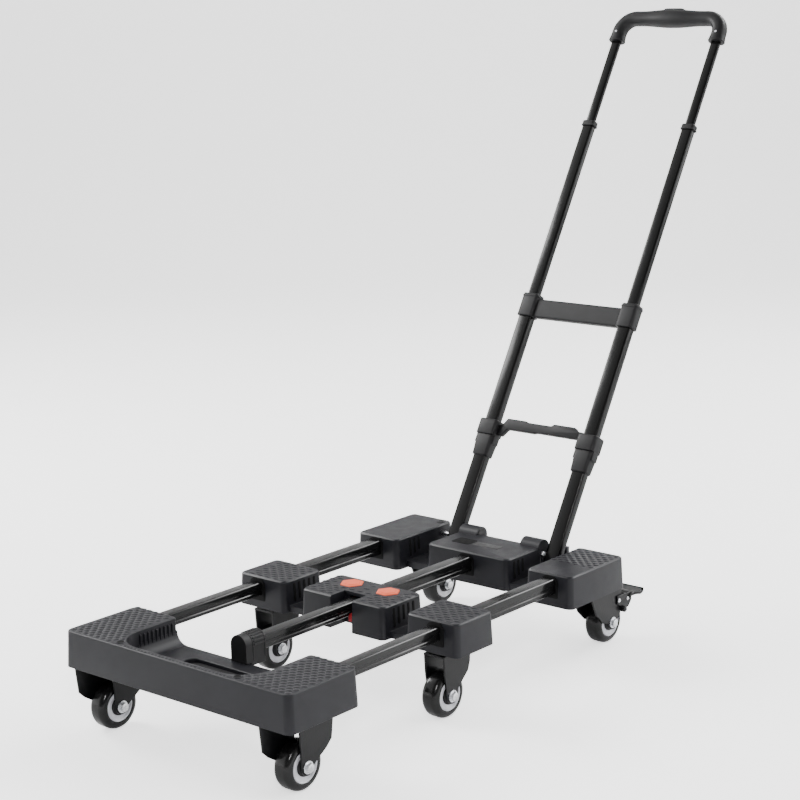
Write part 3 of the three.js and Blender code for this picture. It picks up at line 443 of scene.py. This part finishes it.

# %% [markdown]
# Two screws hold the bumper down, near the inner ends of its front wall. Each sits deep in a round well,
# whose shadow is painted shade: a nearly black disc, with a low raised rim.
# %% Bumper screw wells
wells, rims = [], []
for side in (-1, 1):
    wells.append(turned_part([(0.001, 138.25), (4.8, 138.25), (4.8, 137), (0.001, 137)],
                             side * SCREW_X, SCREW_Y, 0, "Z", 28))
    rim = [(4.5, 138.2), (4.9, 138.7), (5.6, 138.7), (6.0, 138.1), (5.6, 137.6), (4.5, 138.2)]
    rims.append(turned_part(rim, side * SCREW_X, SCREW_Y, 0, "Z", 28))
piece("screw_wells", wells, "front", painted_shade_finish)
piece("well_rims", rims, "front", bumper_plastic)

# %% [markdown]
# Shells with many windows and sockets are quicker to finish than to draw twice. Their solid's own mesh is
# copied, its corners welded and the lines across its flat faces dissolved, and a narrow Bevel modifier
# rolls every sharp edge, which is what catches the light on a moulded or pressed part.
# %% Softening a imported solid
def softened(name, node, body, finish, width):
    sharp = 35
    source = frame["nodes"][node]
    bm = bmesh.new()
    bm.from_mesh(source.data)
    bmesh.ops.transform(bm, matrix=source.matrix_world, verts=bm.verts)
    bmesh.ops.remove_doubles(bm, verts=bm.verts, dist=0.00002)
    bmesh.ops.dissolve_limit(bm, angle_limit=math.radians(1), verts=bm.verts, edges=bm.edges)
    bmesh.ops.transform(bm, matrix=STAND.inverted(), verts=bm.verts)
    thing = piece(name, [bm], body, finish, [node], sharp=sharp)
    bevel = thing.modifiers.new("soft edges", "BEVEL")
    bevel.limit_method = "ANGLE"
    bevel.angle_limit = math.radians(sharp)
    bevel.width = width * MM
    bevel.segments = 3
    bevel.harden_normals = True


softened("middle_blocks", "middle_housing", "middle", middle_plastic, 1.0)
softened("rear_blocks", "rear_housing", "rear", rear_plastic, 1.0)
softened("front_base", "front_under_cover", "front", cover_plastic, 0.4)
softened("middle_base", "middle_under_cover", "middle", cover_plastic, 0.4)
softened("rear_base", "rear_under_cover", "rear", cover_plastic, 0.4)
softened("rail_cap_shell", "centre_rail_cap", "front", handle_plastic, 0.8)
print("blocks", made["middle_blocks"], made["rear_blocks"])

# %% [markdown]
# The rails are square steel tubes with rounded corners and a shallow groove rolled down each side. The
# inner rail slides in the outer one. Each is an outline across the rail, raised along it, with the tiny
# rounding of a cut end.
# %% Rails
RAIL_X, RAIL_Z = 157.8, 121.7


def rail_outline(x, width, height):
    w, h = width / 2, height / 2
    points = [(-w, -h), (w, -h), (w, -4.2), (w - 0.9, -3.2), (w - 0.9, 0.4), (w, 1.4), (w, h), (-w, h),
              (-w, 1.4), (-w + 0.9, 0.4), (-w + 0.9, -3.2), (-w, -4.2)]
    return [(x + a, RAIL_Z + b) for a, b in points], [2.8, 2.8, 0, 0, 0, 0, 2.8, 2.8, 0, 0, 0, 0]


def rail_bar(x, width, height, y0, y1):
    points, radii = rail_outline(x, width, height)
    return turned(raised(points, y0, y1, radii, 0.5, 0.5), ALONG_Y)


for name, x, rear_end in (("left", -RAIL_X, 392), ("right", RAIL_X, 392), ("centre", 0, 402)):
    start = 116 if name == "centre" else 1.4
    piece(f"inner_rail_{name}_bar", [rail_bar(x, 18, 19, start, rear_end)], "front", rail_paint,
          [f"inner_rail_{name}"])
for name, x, start, end in (("left", -RAIL_X, 337, 688.9), ("right", RAIL_X, 337, 688.9),
                            ("centre", 0, 378, 659.9)):
    piece(f"outer_rail_{name}_bar", [rail_bar(x, 21.2, 22.2, start, end)], "rear", rail_paint,
          [f"outer_rail_{name}"])
print("rails", made["inner_rail_left_bar"])

# %% [markdown]
# Where a rail goes into a block there is a mouth with an arched top, a little larger than the rail. Its
# shadowed inside is painted shade: a thin nearly black plate on the block's face, and the rail passes through
# it.
# %% Mouths round the rails
def mouth(x, y0, y1):
    half, low, high = 14.2, 104.0, 136.2
    plate = raised([(x - half, low), (x + half, low), (x + half, high), (x - half, high)], y0, y1,
                   [2, 2, 11, 11], 0.5, 0.5, 0, 6)
    return turned(plate, ALONG_Y)


bumper_mouths = [mouth(side * RAIL_X, 118.9, 120.6) for side in (-1, 1)]
middle_mouths = [mouth(side * RAIL_X, y0, y1) for side in (-1, 1)
                 for y0, y1 in ((309.9, 311.6), (388.4, 390.0))]
rear_mouths = [mouth(side * RAIL_X, 562.6, 564.2) for side in (-1, 1)] + [mouth(0, 577.6, 579.2)]
piece("bumper_mouths", bumper_mouths, "front", painted_shade_finish)
piece("middle_mouths", middle_mouths, "middle", painted_shade_finish)
piece("rear_mouths", rear_mouths, "rear", painted_shade_finish)
print("mouths", made["bumper_mouths"], made["middle_mouths"], made["rear_mouths"])

# %% [markdown]
# The cap closes the front end of the centre rail: a plain arched face in front, and behind it a collar
# fluted like a knob, so that it can be gripped and pulled off.
# %% Cap on the centre rail
def arch(half, top, low, y0, y1):
    rim = 0.9
    points = [(half * math.cos(math.radians(a)), top - half + half * math.sin(math.radians(a)))
              for a in range(0, 181, 12)] + [(-half, low), (half, low)]
    return turned(raised(points, y0, y1, 0, rim, rim), ALONG_Y)


def flutes(half, top, y0, y1):
    ribs = []
    for a in range(0, 181, 18):
        x, z = half * math.cos(math.radians(a)), top - half + half * math.sin(math.radians(a))
        ribs.append(turned_part([(0.001, y0), (1.4, y0 + 1), (1.4, y1 - 1), (0.001, y1)], x, 0, z, "Y", 8))
    return ribs


bands = [arch(14.0, 140.0, 106, 124, 126.5), arch(14.2, 140.2, 106, 145.4, 148)]
piece("cap_collar", bands + flutes(13.4, 139.4, 126, 146), "front", handle_plastic)
print("cap collar", made["cap_collar"])

# %% [markdown]
# Each middle and rear block has tall slots in the faces beside its rails, shorter one after another
# toward the shelf, and low ribs between them. The slots' shadowed insides are painted shade: narrow
# nearly black slabs with round ends, drawn flat against the face.
# %% Slots beside the rails
def slot_shade_slab(x, y, z0, z1, slope):
    """A nearly black slab of painted shade for a slot's well, on a face that looks along X, leaning by
    `slope` for each step up.
    """
    half = 2.0
    bm = raised(rectangle(y - half, y + half, z0, z1), x - 0.6, x + 0.6, half * 0.95, 0.25, 0.25)
    shear = Matrix(((1, 0, slope, -slope * TOP), (0, 1, 0, 0), (0, 0, 1, 0), (0, 0, 0, 1)))
    return turned(bm, shear @ ALONG_X)


middle_slots, rear_slots = [], []
for side in (-1, 1):
    for bottom, y in ((106, 332), (109, 342), (112, 352), (115, 362), (118, 372)):
        middle_slots.append(slot_shade_slab(side * 108.05, y, bottom, 133, side * 2 / 44.8))
        middle_slots.append(slot_shade_slab(side * 72.5, y - 2, bottom, 133, -side * 2 / 44.8))
    for bottom, y in ((107, 594), (110, 604), (113, 614)):
        rear_slots.append(slot_shade_slab(side * 117.05, y, bottom, 133, side * 2 / 46))
        rear_slots.append(slot_shade_slab(side * 73.0, y + 2, bottom, 133, -side * 2 / 46))
piece("middle_slots", middle_slots, "middle", painted_shade_finish)
piece("rear_slots", rear_slots, "rear", painted_shade_finish)
print("slots", len(middle_slots), len(rear_slots))

# %% [markdown]
# The two release buttons are long hexagons with softly pillowed tops. The red catch between the blocks is
# the end of the latch that they pull.
# %% Buttons and catch
def button(x):
    half_long, half_short, shrink = 17, 15, 0.72
    hexagon_points = [(-half_long, 0), (-half_long / 2, -half_short), (half_long / 2, -half_short),
                      (half_long, 0), (half_long / 2, half_short), (-half_long / 2, half_short)]
    outer = [(x + a, BUTTON_Y + b) for a, b in hexagon_points]
    inner = [(x + a * shrink, BUTTON_Y + b * shrink) for a, b in hexagon_points]
    return [raised(outer, 130.6, 139.2, 1.6, 1.4), raised(inner, 138.9, 139.9, 2.5, 0.6)]


for name, side in (("left", -1), ("right", 1)):
    piece(f"button_{name}_cap", button(side * BUTTON_X), f"button_{name}", button_plastic,
          [f"release_button_{name}"])
# The catch's red is its own red darkened as painted shade for the shadow between the blocks.
catch = [raised(rectangle(11.7, 18.3, 308, 336.6), 108, 116, 1.2, 0.8, 0.6),
         raised(rectangle(12.2, 17.8, 309, 314), 115.5, 118.5, 1, 0.8)]
piece("catch", catch, "latch", catch_red_and_painted_shade, ["lock_latch"])
print("buttons", made["button_left_cap"], made["button_right_cap"], "catch", made["catch"])

# %% [markdown]
# The rear block carries a small plain grey label plate beside a shallow recess, drawn as a thin nearly
# black plate of painted shade, a low round boss on its left side, a dark disc on the inner end of each
# hinge ear, and silver pins that hold the handle's feet.
# %% Label, bosses, pivot pins
plate = raised(rectangle(-16.6, 28.6, 614.4, 629.6), 137.15, 138.4, 1.5, 0.4)
piece("label", [plate], "rear", label_finish, ["label_plate"])
piece("label_recess", [raised(rectangle(-52, -19, 608, 634), 137.7, 138.15, 5, 0.2)], "rear", painted_shade_finish)
boss = [(0.001, 138.2), (3.2, 138.2), (4.2, 138.9), (6.4, 138.8), (7.2, 138), (7.2, 137), (0.001, 137)]
bosses = [turned_part(boss, -128, 682, 0, "Z", 32)]
EAR_END, EAR_Y, EAR_Z = 40, 668, 134
disc = [(0.001, 0.5), (11.2, 0.5), (11.2, -0.3), (10.6, -0.7), (3.4, -0.7), (2.6, -0.3), (0.001, -0.3)]
for side in (-1, 1):
    bosses.append(turned_part([(radius, side * along) for radius, along in disc],
                              side * EAR_END, EAR_Y, EAR_Z, "X", 32))
piece("rear_bosses", bosses, "rear", dark_plastic)
for name, side in (("left", -1), ("right", 1)):
    pin_half = [(0.001, 65), (4, 65), (4, 118), (3.2, 119.6), (0.001, 119.9)]
    pin = turned_part([(radius, side * along) for radius, along in pin_half], 0, PIVOT_BACK, 125.4, "X", 24)
    knob = turned_part([(0.001, 4.4), (1.8, 4.0), (3.2, 2.8), (4.0, 0), (0.001, 0)],
                       side * 74, 664.4, 127, "Z", 20)
    piece(f"pivot_pin_{name}_bar", [pin, knob], "rear", zinc, [f"pivot_pin_{name}"])
print("rear details done", len(made))

# %% [markdown]
# A tyre is a glossy ring with broad round shoulders. It is turned from a closed half section made of two
# quarter curves, and the wheel in it has a pale rim with a raised lip and a black hub cap that stands out
# towards the fork. Everything is turned round the axle.
# %% Wheels
AXLE_HEIGHT = 31.5


def quarter(along, radius, reach, steps=7):
    """A quarter circle in a half section, from its side to its crown."""
    turns = [math.radians(90 * i / steps) for i in range(steps + 1)]
    return [(radius + reach * math.sin(t), along + reach * math.cos(t)) for t in turns]


def mirrored(half):
    """A closed half section, from the points of its right side."""
    return [(radius, -along) for radius, along in reversed(half)] + half + [(half[-1][0], -half[-1][1])]


def wheel(place, name, side, x, y):
    body = f"{place}_wheel_{name}"
    right = quarter(5.0, 23.5, 8.0)
    left = [(radius, -along) for radius, along in right]
    tyre_section = ([(21.3, -12.2), (22.3, -13.0)] + left + right[::-1]
                    + [(22.3, 13.0), (21.3, 12.2), (21.3, -12.2)])
    tyre = turned_part(tyre_section, side * x, y, AXLE_HEIGHT, "X", 64)
    piece(f"{place}_{name}_tyre", [tyre], body, tyre_rubber, [f"{place}_tyre_{name}"], sharp=50)
    rim_half = [(21.0, 11.0), (20.8, 12.6), (19.6, 13.2), (18.3, 12.6), (17.6, 11.2), (13.4, 10.6),
                (12.6, 10.6)]
    rim = turned_part(mirrored(rim_half), side * x, y, AXLE_HEIGHT, "X", 56)
    cap_half = [(12.7, 10.9), (12.4, 12.6), (11.2, 13.4), (9.2, 13.8), (8.9, 14.0), (4.4, 14.0)]
    cap = turned_part(mirrored(cap_half), side * x, y, AXLE_HEIGHT, "X", 40)
    piece(f"{place}_{name}_rim", [rim], body, rim_plastic, [f"{place}_hub_{name}"])
    piece(f"{place}_{name}_hub_cap", [cap], body, dark_plastic)


casters = []
for name, side in (("left", -1), ("right", 1)):
    for place, x, y, body in (("front", 162, 43, "front"), ("middle", 152, 332, f"middle_caster_{name}"),
                              ("rear", 152, 706, f"rear_caster_{name}")):
        casters.append((place, name, side, x, y, body))
        wheel(place, name, side, x, y)
print("wheels", made["front_left_tyre"])

# %% [markdown]
# The bolt through each wheel is bright zinc: a hexagon head on a washer, with a flat turned across its
# end, and a nut on the other side. The fork round it is pressed steel in satin black, so it keeps the
# solid's own shape, with its edges rolled.
# %% Forks and bolts
for place, name, side, x, y, body in casters:
    cx = side * x
    head = hexagon(6.4, cx + 17.9, cx + 22.3, y, AXLE_HEIGHT)
    nut = hexagon(6.0, cx - 21.6, cx - 17.9, y, AXLE_HEIGHT)
    shank = turned_part([(0.001, -22.5), (3.6, -22.5), (3.9, -21.6), (3.9, 17), (0.001, 17)],
                        cx, y, AXLE_HEIGHT, "X", 24)
    washer = turned_part([(4, 17.2), (8.2, 17.2), (8.2, 18.0), (4, 18.2), (4, 17.2)],
                         cx, y, AXLE_HEIGHT, "X", 28)
    crown = turned_part([(0.001, 22.2), (4.2, 22.4), (4.6, 22.2), (4.6, 21), (0.001, 21)],
                        cx, y, AXLE_HEIGHT, "X", 24)
    piece(f"{place}_{name}_bolt", [head, nut, shank, washer, crown], body, zinc,
          [f"{place}_axle_{name}"])
    softened(f"{place}_{name}_fork", f"{place}_fork_{name}", body, fork_paint, 0.7)
print("forks", made["rear_left_fork"])

# %% [markdown]
# Over each swivel fork there is a thin bright race that it turns on: a shallow pressed dish with a rolled
# rim, under the block.
# %% Swivel races
for place, name, side, x, y, body in casters:
    if place != "front":
        axis_y = 354 if place == "middle" else 676
        dish = [(0.001, 94.6), (15, 94.6), (17.2, 93.9), (17.6, 92.6), (16.8, 91.4), (14, 90.9),
                (0.001, 90.9)]
        race = turned_part(dish, side * x, axis_y, 0, "Z", 40)
        piece(f"{place}_{name}_race", [race], body, zinc)
print("races", made["rear_left_race"])

# %% [markdown]
# A rear caster's brake is a pair of cheeks with a glossy foot plate that dips and turns up like a tongue.
# The plate is a side-on curve with thickness, raised across the cart, with its edges rounded.
# %% Brake pedals
def foot_plate(x, y):
    top = [(36, 32.0), (42, 34.6), (50, 35.0), (58, 33.0), (66, 31.4), (71, 32.4), (74, 35.0)]
    under = [(b, z - 4.6) for b, z in reversed(top)]
    bm = raised([(y + b, AXLE_HEIGHT + z) for b, z in top + under], x - 22, x + 22, 0, 1.2, 1.2)
    return turned(bm, ALONG_X)


for name, side in (("left", -1), ("right", 1)):
    x, y = side * 152, 706
    rivets = []
    for s in (-1, 1):
        for back, height, radius in ((12, 62, 3.0), (34, 60, 2.6)):
            profile = [(0.001, s * 21.6), (radius * 0.6, s * 21.3), (radius, s * 20.2), (radius, s * 19),
                       (0.001, s * 19)]
            rivets.append(turned_part(profile, x, y + back, height, "X", 18))
    stop = turned_part([(0.001, -24), (3.4, -24), (4.6, -22.6), (4.6, 22.6), (3.4, 24), (0.001, 24)],
                       x, y + 23, 47, "X", 20)
    piece(f"brake_{name}_stop", [stop], f"brake_{name}", dark_plastic)
    softened(f"brake_{name}_cheeks", f"brake_pedal_{name}", f"brake_{name}", fork_paint, 0.6)
    piece(f"brake_{name}_plate", [foot_plate(x, y)], f"brake_{name}", tube_paint)
    piece(f"brake_{name}_rivets", rivets, f"brake_{name}", zinc)
print("brakes", made["brake_left_plate"])

# %% [markdown]
# The handle's tubes are flat steel tubes with rounded corners, each sliding in the one below. They are
# drawn as solid bars, since their insides never show, and so are the rings round them.
# %% Handle tubes
TUBE_X = 90


def upright(x, half_width, half_depth, z0, z1, corner, rim=0.5, foot=0.5):
    outline = rectangle(x - half_width, x + half_width, -half_depth, half_depth)
    return raised(outline, z0, z1, corner, rim, foot)


for name, side in (("left", -1), ("right", 1)):
    x = side * TUBE_X
    for node, body, w, d, z0, z1 in (("lower_tube", "handle_lower", 11.5, 7.5, -12, 389.8),
                                     ("middle_tube", "handle_middle", 9.7, 5.7, 334, 687.8),
                                     ("top_tube", "handle_top", 7.9, 3.9, 636, 851)):
        piece(f"{node}_{name}_bar", [upright(x, w, d, z0, z1, min(3.2, d - 0.4))], body, tube_paint,
              [f"{node}_{name}"], LEAN)
    lip = upright(x, 11.2, 7.2, 681, 689.6, 4, 1.6)
    edge = upright(x, 11.7, 7.7, 681, 683.2, 4, 0.8, 0.6)
    piece(f"ferrule_{name}_ring", [lip, edge], "handle_middle", dark_plastic, [f"ferrule_{name}"],
          LEAN)
    foot, mouth_height, flare = 128, 161, 0.16
    sleeve = upright(x, 13.7, 9.7, foot, mouth_height, 4.5, 0.6, 2.0)
    for v in sleeve.verts:
        grow = 1 + flare * max(0.0, (v.co.z - foot) / (mouth_height - foot))
        v.co.x, v.co.y = x + (v.co.x - x) * grow, v.co.y * grow
    piece(f"sleeve_{name}_ring", [sleeve], "handle_lower", handle_plastic, [f"lower_sleeve_{name}"],
          LEAN)
print("tubes", made["lower_tube_left_bar"], "sleeves", made["sleeve_left_ring"])

# %% [markdown]
# Half way up, a flat bar ties the two lower tubes through ring collars. The rings stand a little above
# the bar and are wider than the tubes, with a rolled lip at the top.
# %% Crossbar
rings = []
for side in (-1, 1):
    rings.append(upright(side * TUBE_X, 14.3, 10.3, 357, 394, 4.8, 1.8, 1.0))
    rings.append(upright(side * TUBE_X, 15.0, 11.0, 388, 391.5, 5.2, 1.2, 1.2))
bar = turned(raised(rectangle(-5.5, 5.5, 357, 387), -78, 78, 2.6), ALONG_X)
piece("crossbar_moulding", [*rings, bar], "handle_lower", handle_plastic, ["crossbar"], LEAN)
print("crossbar", made["crossbar_moulding"])

# %% [markdown]
# The release yoke rides on the lower tubes. Its two rings have tongues beside the tubes, and a link bar
# that steps down at its left end and up for a short way near its right, to clear the hand.
# %% Release yoke
link = [(-76, 164), (-65, 164), (-57, 175.5), (-10, 175.5), (-6, 177), (76, 177), (76, 189), (66, 189),
        (60, 194.4), (22, 194.4), (18, 190.8), (-24, 190.8), (-28, 192.4), (-62, 192.4), (-69, 181),
        (-76, 180)]
link_bar = turned(raised(link, -4, 4, 1.6, 1.2, 1.2), ALONG_Y)
yoke = [link_bar]
for side in (-1, 1):
    yoke.append(upright(side * TUBE_X, 17, 13, 161.4, 185.8, 5.5, 2.6, 1.2))
    for s in (-1, 1):
        yoke.append(upright(side * TUBE_X + s * 15.5, 1.4, 7.4, 148.5, 163, 1.0, 0.5, 0.9))
piece("yoke_moulding", yoke, "yoke", handle_plastic, ["release_yoke"], LEAN)
print("yoke", made["yoke_moulding"])

# %% [markdown]
# The grip is a round bar bent down at both ends into flat sockets, swelling in the middle to fill the
# palm. One ring is carried along the bend: each step extrudes the last face and moves it to its new place,
# scaled to the grip's thickness there.
# %% Grip
def swept(ring, places):
    bm = bmesh.new()
    current = [bm.faces.new([bm.verts.new((x, y, 0)) for x, y in ring])]
    bmesh.ops.transform(bm, matrix=places[0], verts=bm.verts)
    for before, after in zip(places, places[1:]):
        new = bmesh.ops.extrude_face_region(bm, geom=current)["geom"]
        bmesh.ops.transform(bm, matrix=after @ before.inverted(),
                            verts=[g for g in new if isinstance(g, bmesh.types.BMVert)])
        current = [g for g in new if isinstance(g, bmesh.types.BMFace)]
    bmesh.ops.recalc_face_normals(bm, faces=bm.faces)
    return bm


def grip_place(x, z, turn, wide, deep):
    """The ring's X is across the bar in its plane, its Y is the handle's depth, its Z runs along the bar."""
    return (Matrix.Translation((x, 0, z)) @ Matrix.Rotation(turn, 4, "Y")
            @ Matrix.Diagonal((wide, deep, 1, 1)))


def squared(value):
    """A sine or cosine that keeps its sign and is drawn a little towards a square's."""
    return math.copysign(abs(value) ** 0.8, value)


BAR_RADIUS, PALM_SWELL, PALM_HALF, BEND, ELBOW_Z = 11, 2.6, 56, 25, 845
ring = [(squared(math.cos(t)), squared(math.sin(t)))
        for t in [2 * math.pi * (i + 0.5) / 28 for i in range(28)]]
half_path = [(-TUBE_X, 829.6, 0, 12.6, 9.8), (-TUBE_X, 831, 0, 13.4, 10.4), (-TUBE_X, 834, 0, 12.6, 10.2),
             (-TUBE_X, 840, 0, 11.4, 10.4)]
half_path += [(BEND - TUBE_X - BEND * math.cos(t), ELBOW_Z + BEND * math.sin(t), t, BAR_RADIUS, BAR_RADIUS)
              for t in [math.radians(a) for a in range(0, 91, 10)]]
for x in range(-PALM_HALF, 1, 7):
    radius = BAR_RADIUS + PALM_SWELL * math.cos(math.radians(90 * x / PALM_HALF)) ** 2
    half_path.append((x, ELBOW_Z + BEND, math.pi / 2, radius, radius))
other_half = [(-x, z, math.pi - t, w, d) for x, z, t, w, d in reversed(half_path[:-1])]
grip_bar = swept(ring, [grip_place(*stop) for stop in half_path + other_half])
pad = raised(rectangle(-19.6, 19.6, -7.6, 7.6), 880.2, 884.2, 7.2, 1.0)
piece("grip_moulding", [grip_bar, pad], "handle_top", handle_plastic, ["grip"], LEAN, 50)
key = raised(rectangle(-18.6, 18.6, -6.6, 6.6), 880, 885.4, 6.3, 1.6)
piece("grip_key", [key], "grip_button", dark_plastic, ["grip_button"], LEAN)
studs = [turned_part([(0.001, -11.8), (1.2, -11.6), (1.8, -11.0), (1.8, -10), (0.001, -10)],
                     side * TUBE_X, 0, 843, "Y", 16) for side in (-1, 1)]
piece("grip_studs", studs, "handle_top", rim_plastic, place=LEAN)
print("grip", made["grip_moulding"], "pieces", len(made))

# %% [markdown]
# A plain pale floor that turns up into a wall, with four soft lamps: one high on the left, a tall narrow
# one on the right, a slim one by the lens and a wide one high behind for the tops. The floor also glows
# for the camera alone, which makes it near white and lights nothing. The sky is bright behind the cart
# and dark over the camera, as in a studio with a black cloth there, so that gloss paint stays black
# where it faces the lens.
# %% Studio and camera
floor_back, sweep = 3.4, 1.2
curve = [(floor_back + sweep * math.sin(math.radians(a)), sweep - sweep * math.cos(math.radians(a)))
         for a in range(10, 91, 10)]
side_on = [(-6, 0), (floor_back, 0)] + curve + [(floor_back + sweep, 6)]
view_yaw = Matrix.Rotation(math.radians(39.84), 4, "Z")
cove_mesh = bmesh.new()
line = [cove_mesh.verts.new((-8, y, z)) for y, z in side_on]
for a, b in zip(line, line[1:]):
    cove_mesh.edges.new((a, b))
out = bmesh.ops.extrude_edge_only(cove_mesh, edges=cove_mesh.edges[:])["geom"]
bmesh.ops.translate(cove_mesh, vec=(16, 0, 0), verts=[g for g in out if isinstance(g, bmesh.types.BMVert)])
bmesh.ops.transform(cove_mesh, matrix=view_yaw, verts=cove_mesh.verts)
bmesh.ops.recalc_face_normals(cove_mesh, faces=cove_mesh.faces)
floor_mesh = bpy.data.meshes.new("studio_floor")
cove_mesh.to_mesh(floor_mesh)
cove_mesh.free()
floor_mesh.shade_smooth()
floor = bpy.data.objects.new("studio_floor", floor_mesh)
floor_paper = plain_finish("floor_paper", (0.93, 0.93, 0.93), (0.95, 0.95, 0.95), 0.85, 6.0, fine=0.05,
                           specular=0.1)
paper = floor_paper.node_tree.nodes["Principled BSDF"]
paper.inputs["Emission Color"].default_value = (1, 1, 1, 1)
seen = floor_paper.node_tree.nodes.new("ShaderNodeLightPath")
lift = floor_paper.node_tree.nodes.new("ShaderNodeMath")
lift.operation = "MULTIPLY"
lift.inputs[1].default_value = 1.4
floor_paper.node_tree.links.new(seen.outputs["Is Camera Ray"], lift.inputs[0])
floor_paper.node_tree.links.new(lift.outputs[0], paper.inputs["Emission Strength"])
floor_mesh.materials.append(floor_paper)
bpy.context.scene.collection.objects.link(floor)


def lamp(name, place, look_at, width, height, power):
    light = bpy.data.lights.new(name, "AREA")
    light.shape = "RECTANGLE"
    light.size, light.size_y, light.energy = width, height, power
    thing = bpy.data.objects.new(name, light)
    aim = (Vector(look_at) - Vector(place)).to_track_quat("-Z", "Y").to_matrix().to_4x4()
    thing.matrix_world = Matrix.Translation(place) @ aim
    bpy.context.scene.collection.objects.link(thing)


lamp("high_left", (-2.4, -0.6, 1.9), (0, 0, 0.2), 1.2, 1.2, 90)
lamp("long_right", (2.6, 0.9, 1.5), (0, 0, 0.3), 0.3, 2.0, 24)
lamp("by_the_lens", (1.75, -2.0, 1.75), (0, 0, 0.25), 0.22, 0.9, 34)
lamp("high_back", (0.4, 2.4, 2.2), (0, 0.2, 0), 2.2, 0.9, 75)
world = bpy.data.worlds.new("studio")
world.use_nodes = True
sky = Field(world.node_tree, world.node_tree.nodes.new("ShaderNodeTexCoord").outputs["Generated"])
height = sky.node("ShaderNodeSeparateXYZ", 2, None, Vector=sky)
towards = sky.node("ShaderNodeVectorMath", 1, {"operation": "DOT_PRODUCT"}, Vector=sky)
towards.socket.node.inputs[1].default_value = (0.64, -0.77, 0.0)
shade = ramp(height * 0.7 + towards * 0.7, -0.1, 0.7, 1.0, 0.08)
world.node_tree.links.new(shade.socket, world.node_tree.nodes["Background"].inputs[0])
world.node_tree.nodes["Background"].inputs[1].default_value = 3.6
bpy.context.scene.world = world

yaw, pitch, roll = math.radians(39.842), math.radians(13.616), math.radians(-0.839)
back = Vector((math.sin(yaw) * math.cos(pitch), -math.cos(yaw) * math.cos(pitch), math.sin(pitch)))
right = Vector((math.cos(yaw), math.sin(yaw), 0))
up = back.cross(right)
turned_right = right * math.cos(roll) + up * math.sin(roll)
turned_up = up * math.cos(roll) - right * math.sin(roll)
lens = bpy.data.cameras.new("camera")
lens.lens, lens.sensor_width = 85.735, 36
lens.shift_x, lens.shift_y = -0.0046, 0.0681
camera = bpy.data.objects.new("camera", lens)
camera.matrix_world = Matrix.Translation((1.6174, -2.0561, 0.9201)) @ Matrix(
    (turned_right, turned_up, back)).transposed().to_4x4()
bpy.context.scene.collection.objects.link(camera)
bpy.context.scene.camera = camera
print("lamps", len(bpy.data.lights), "lens", lens.lens)
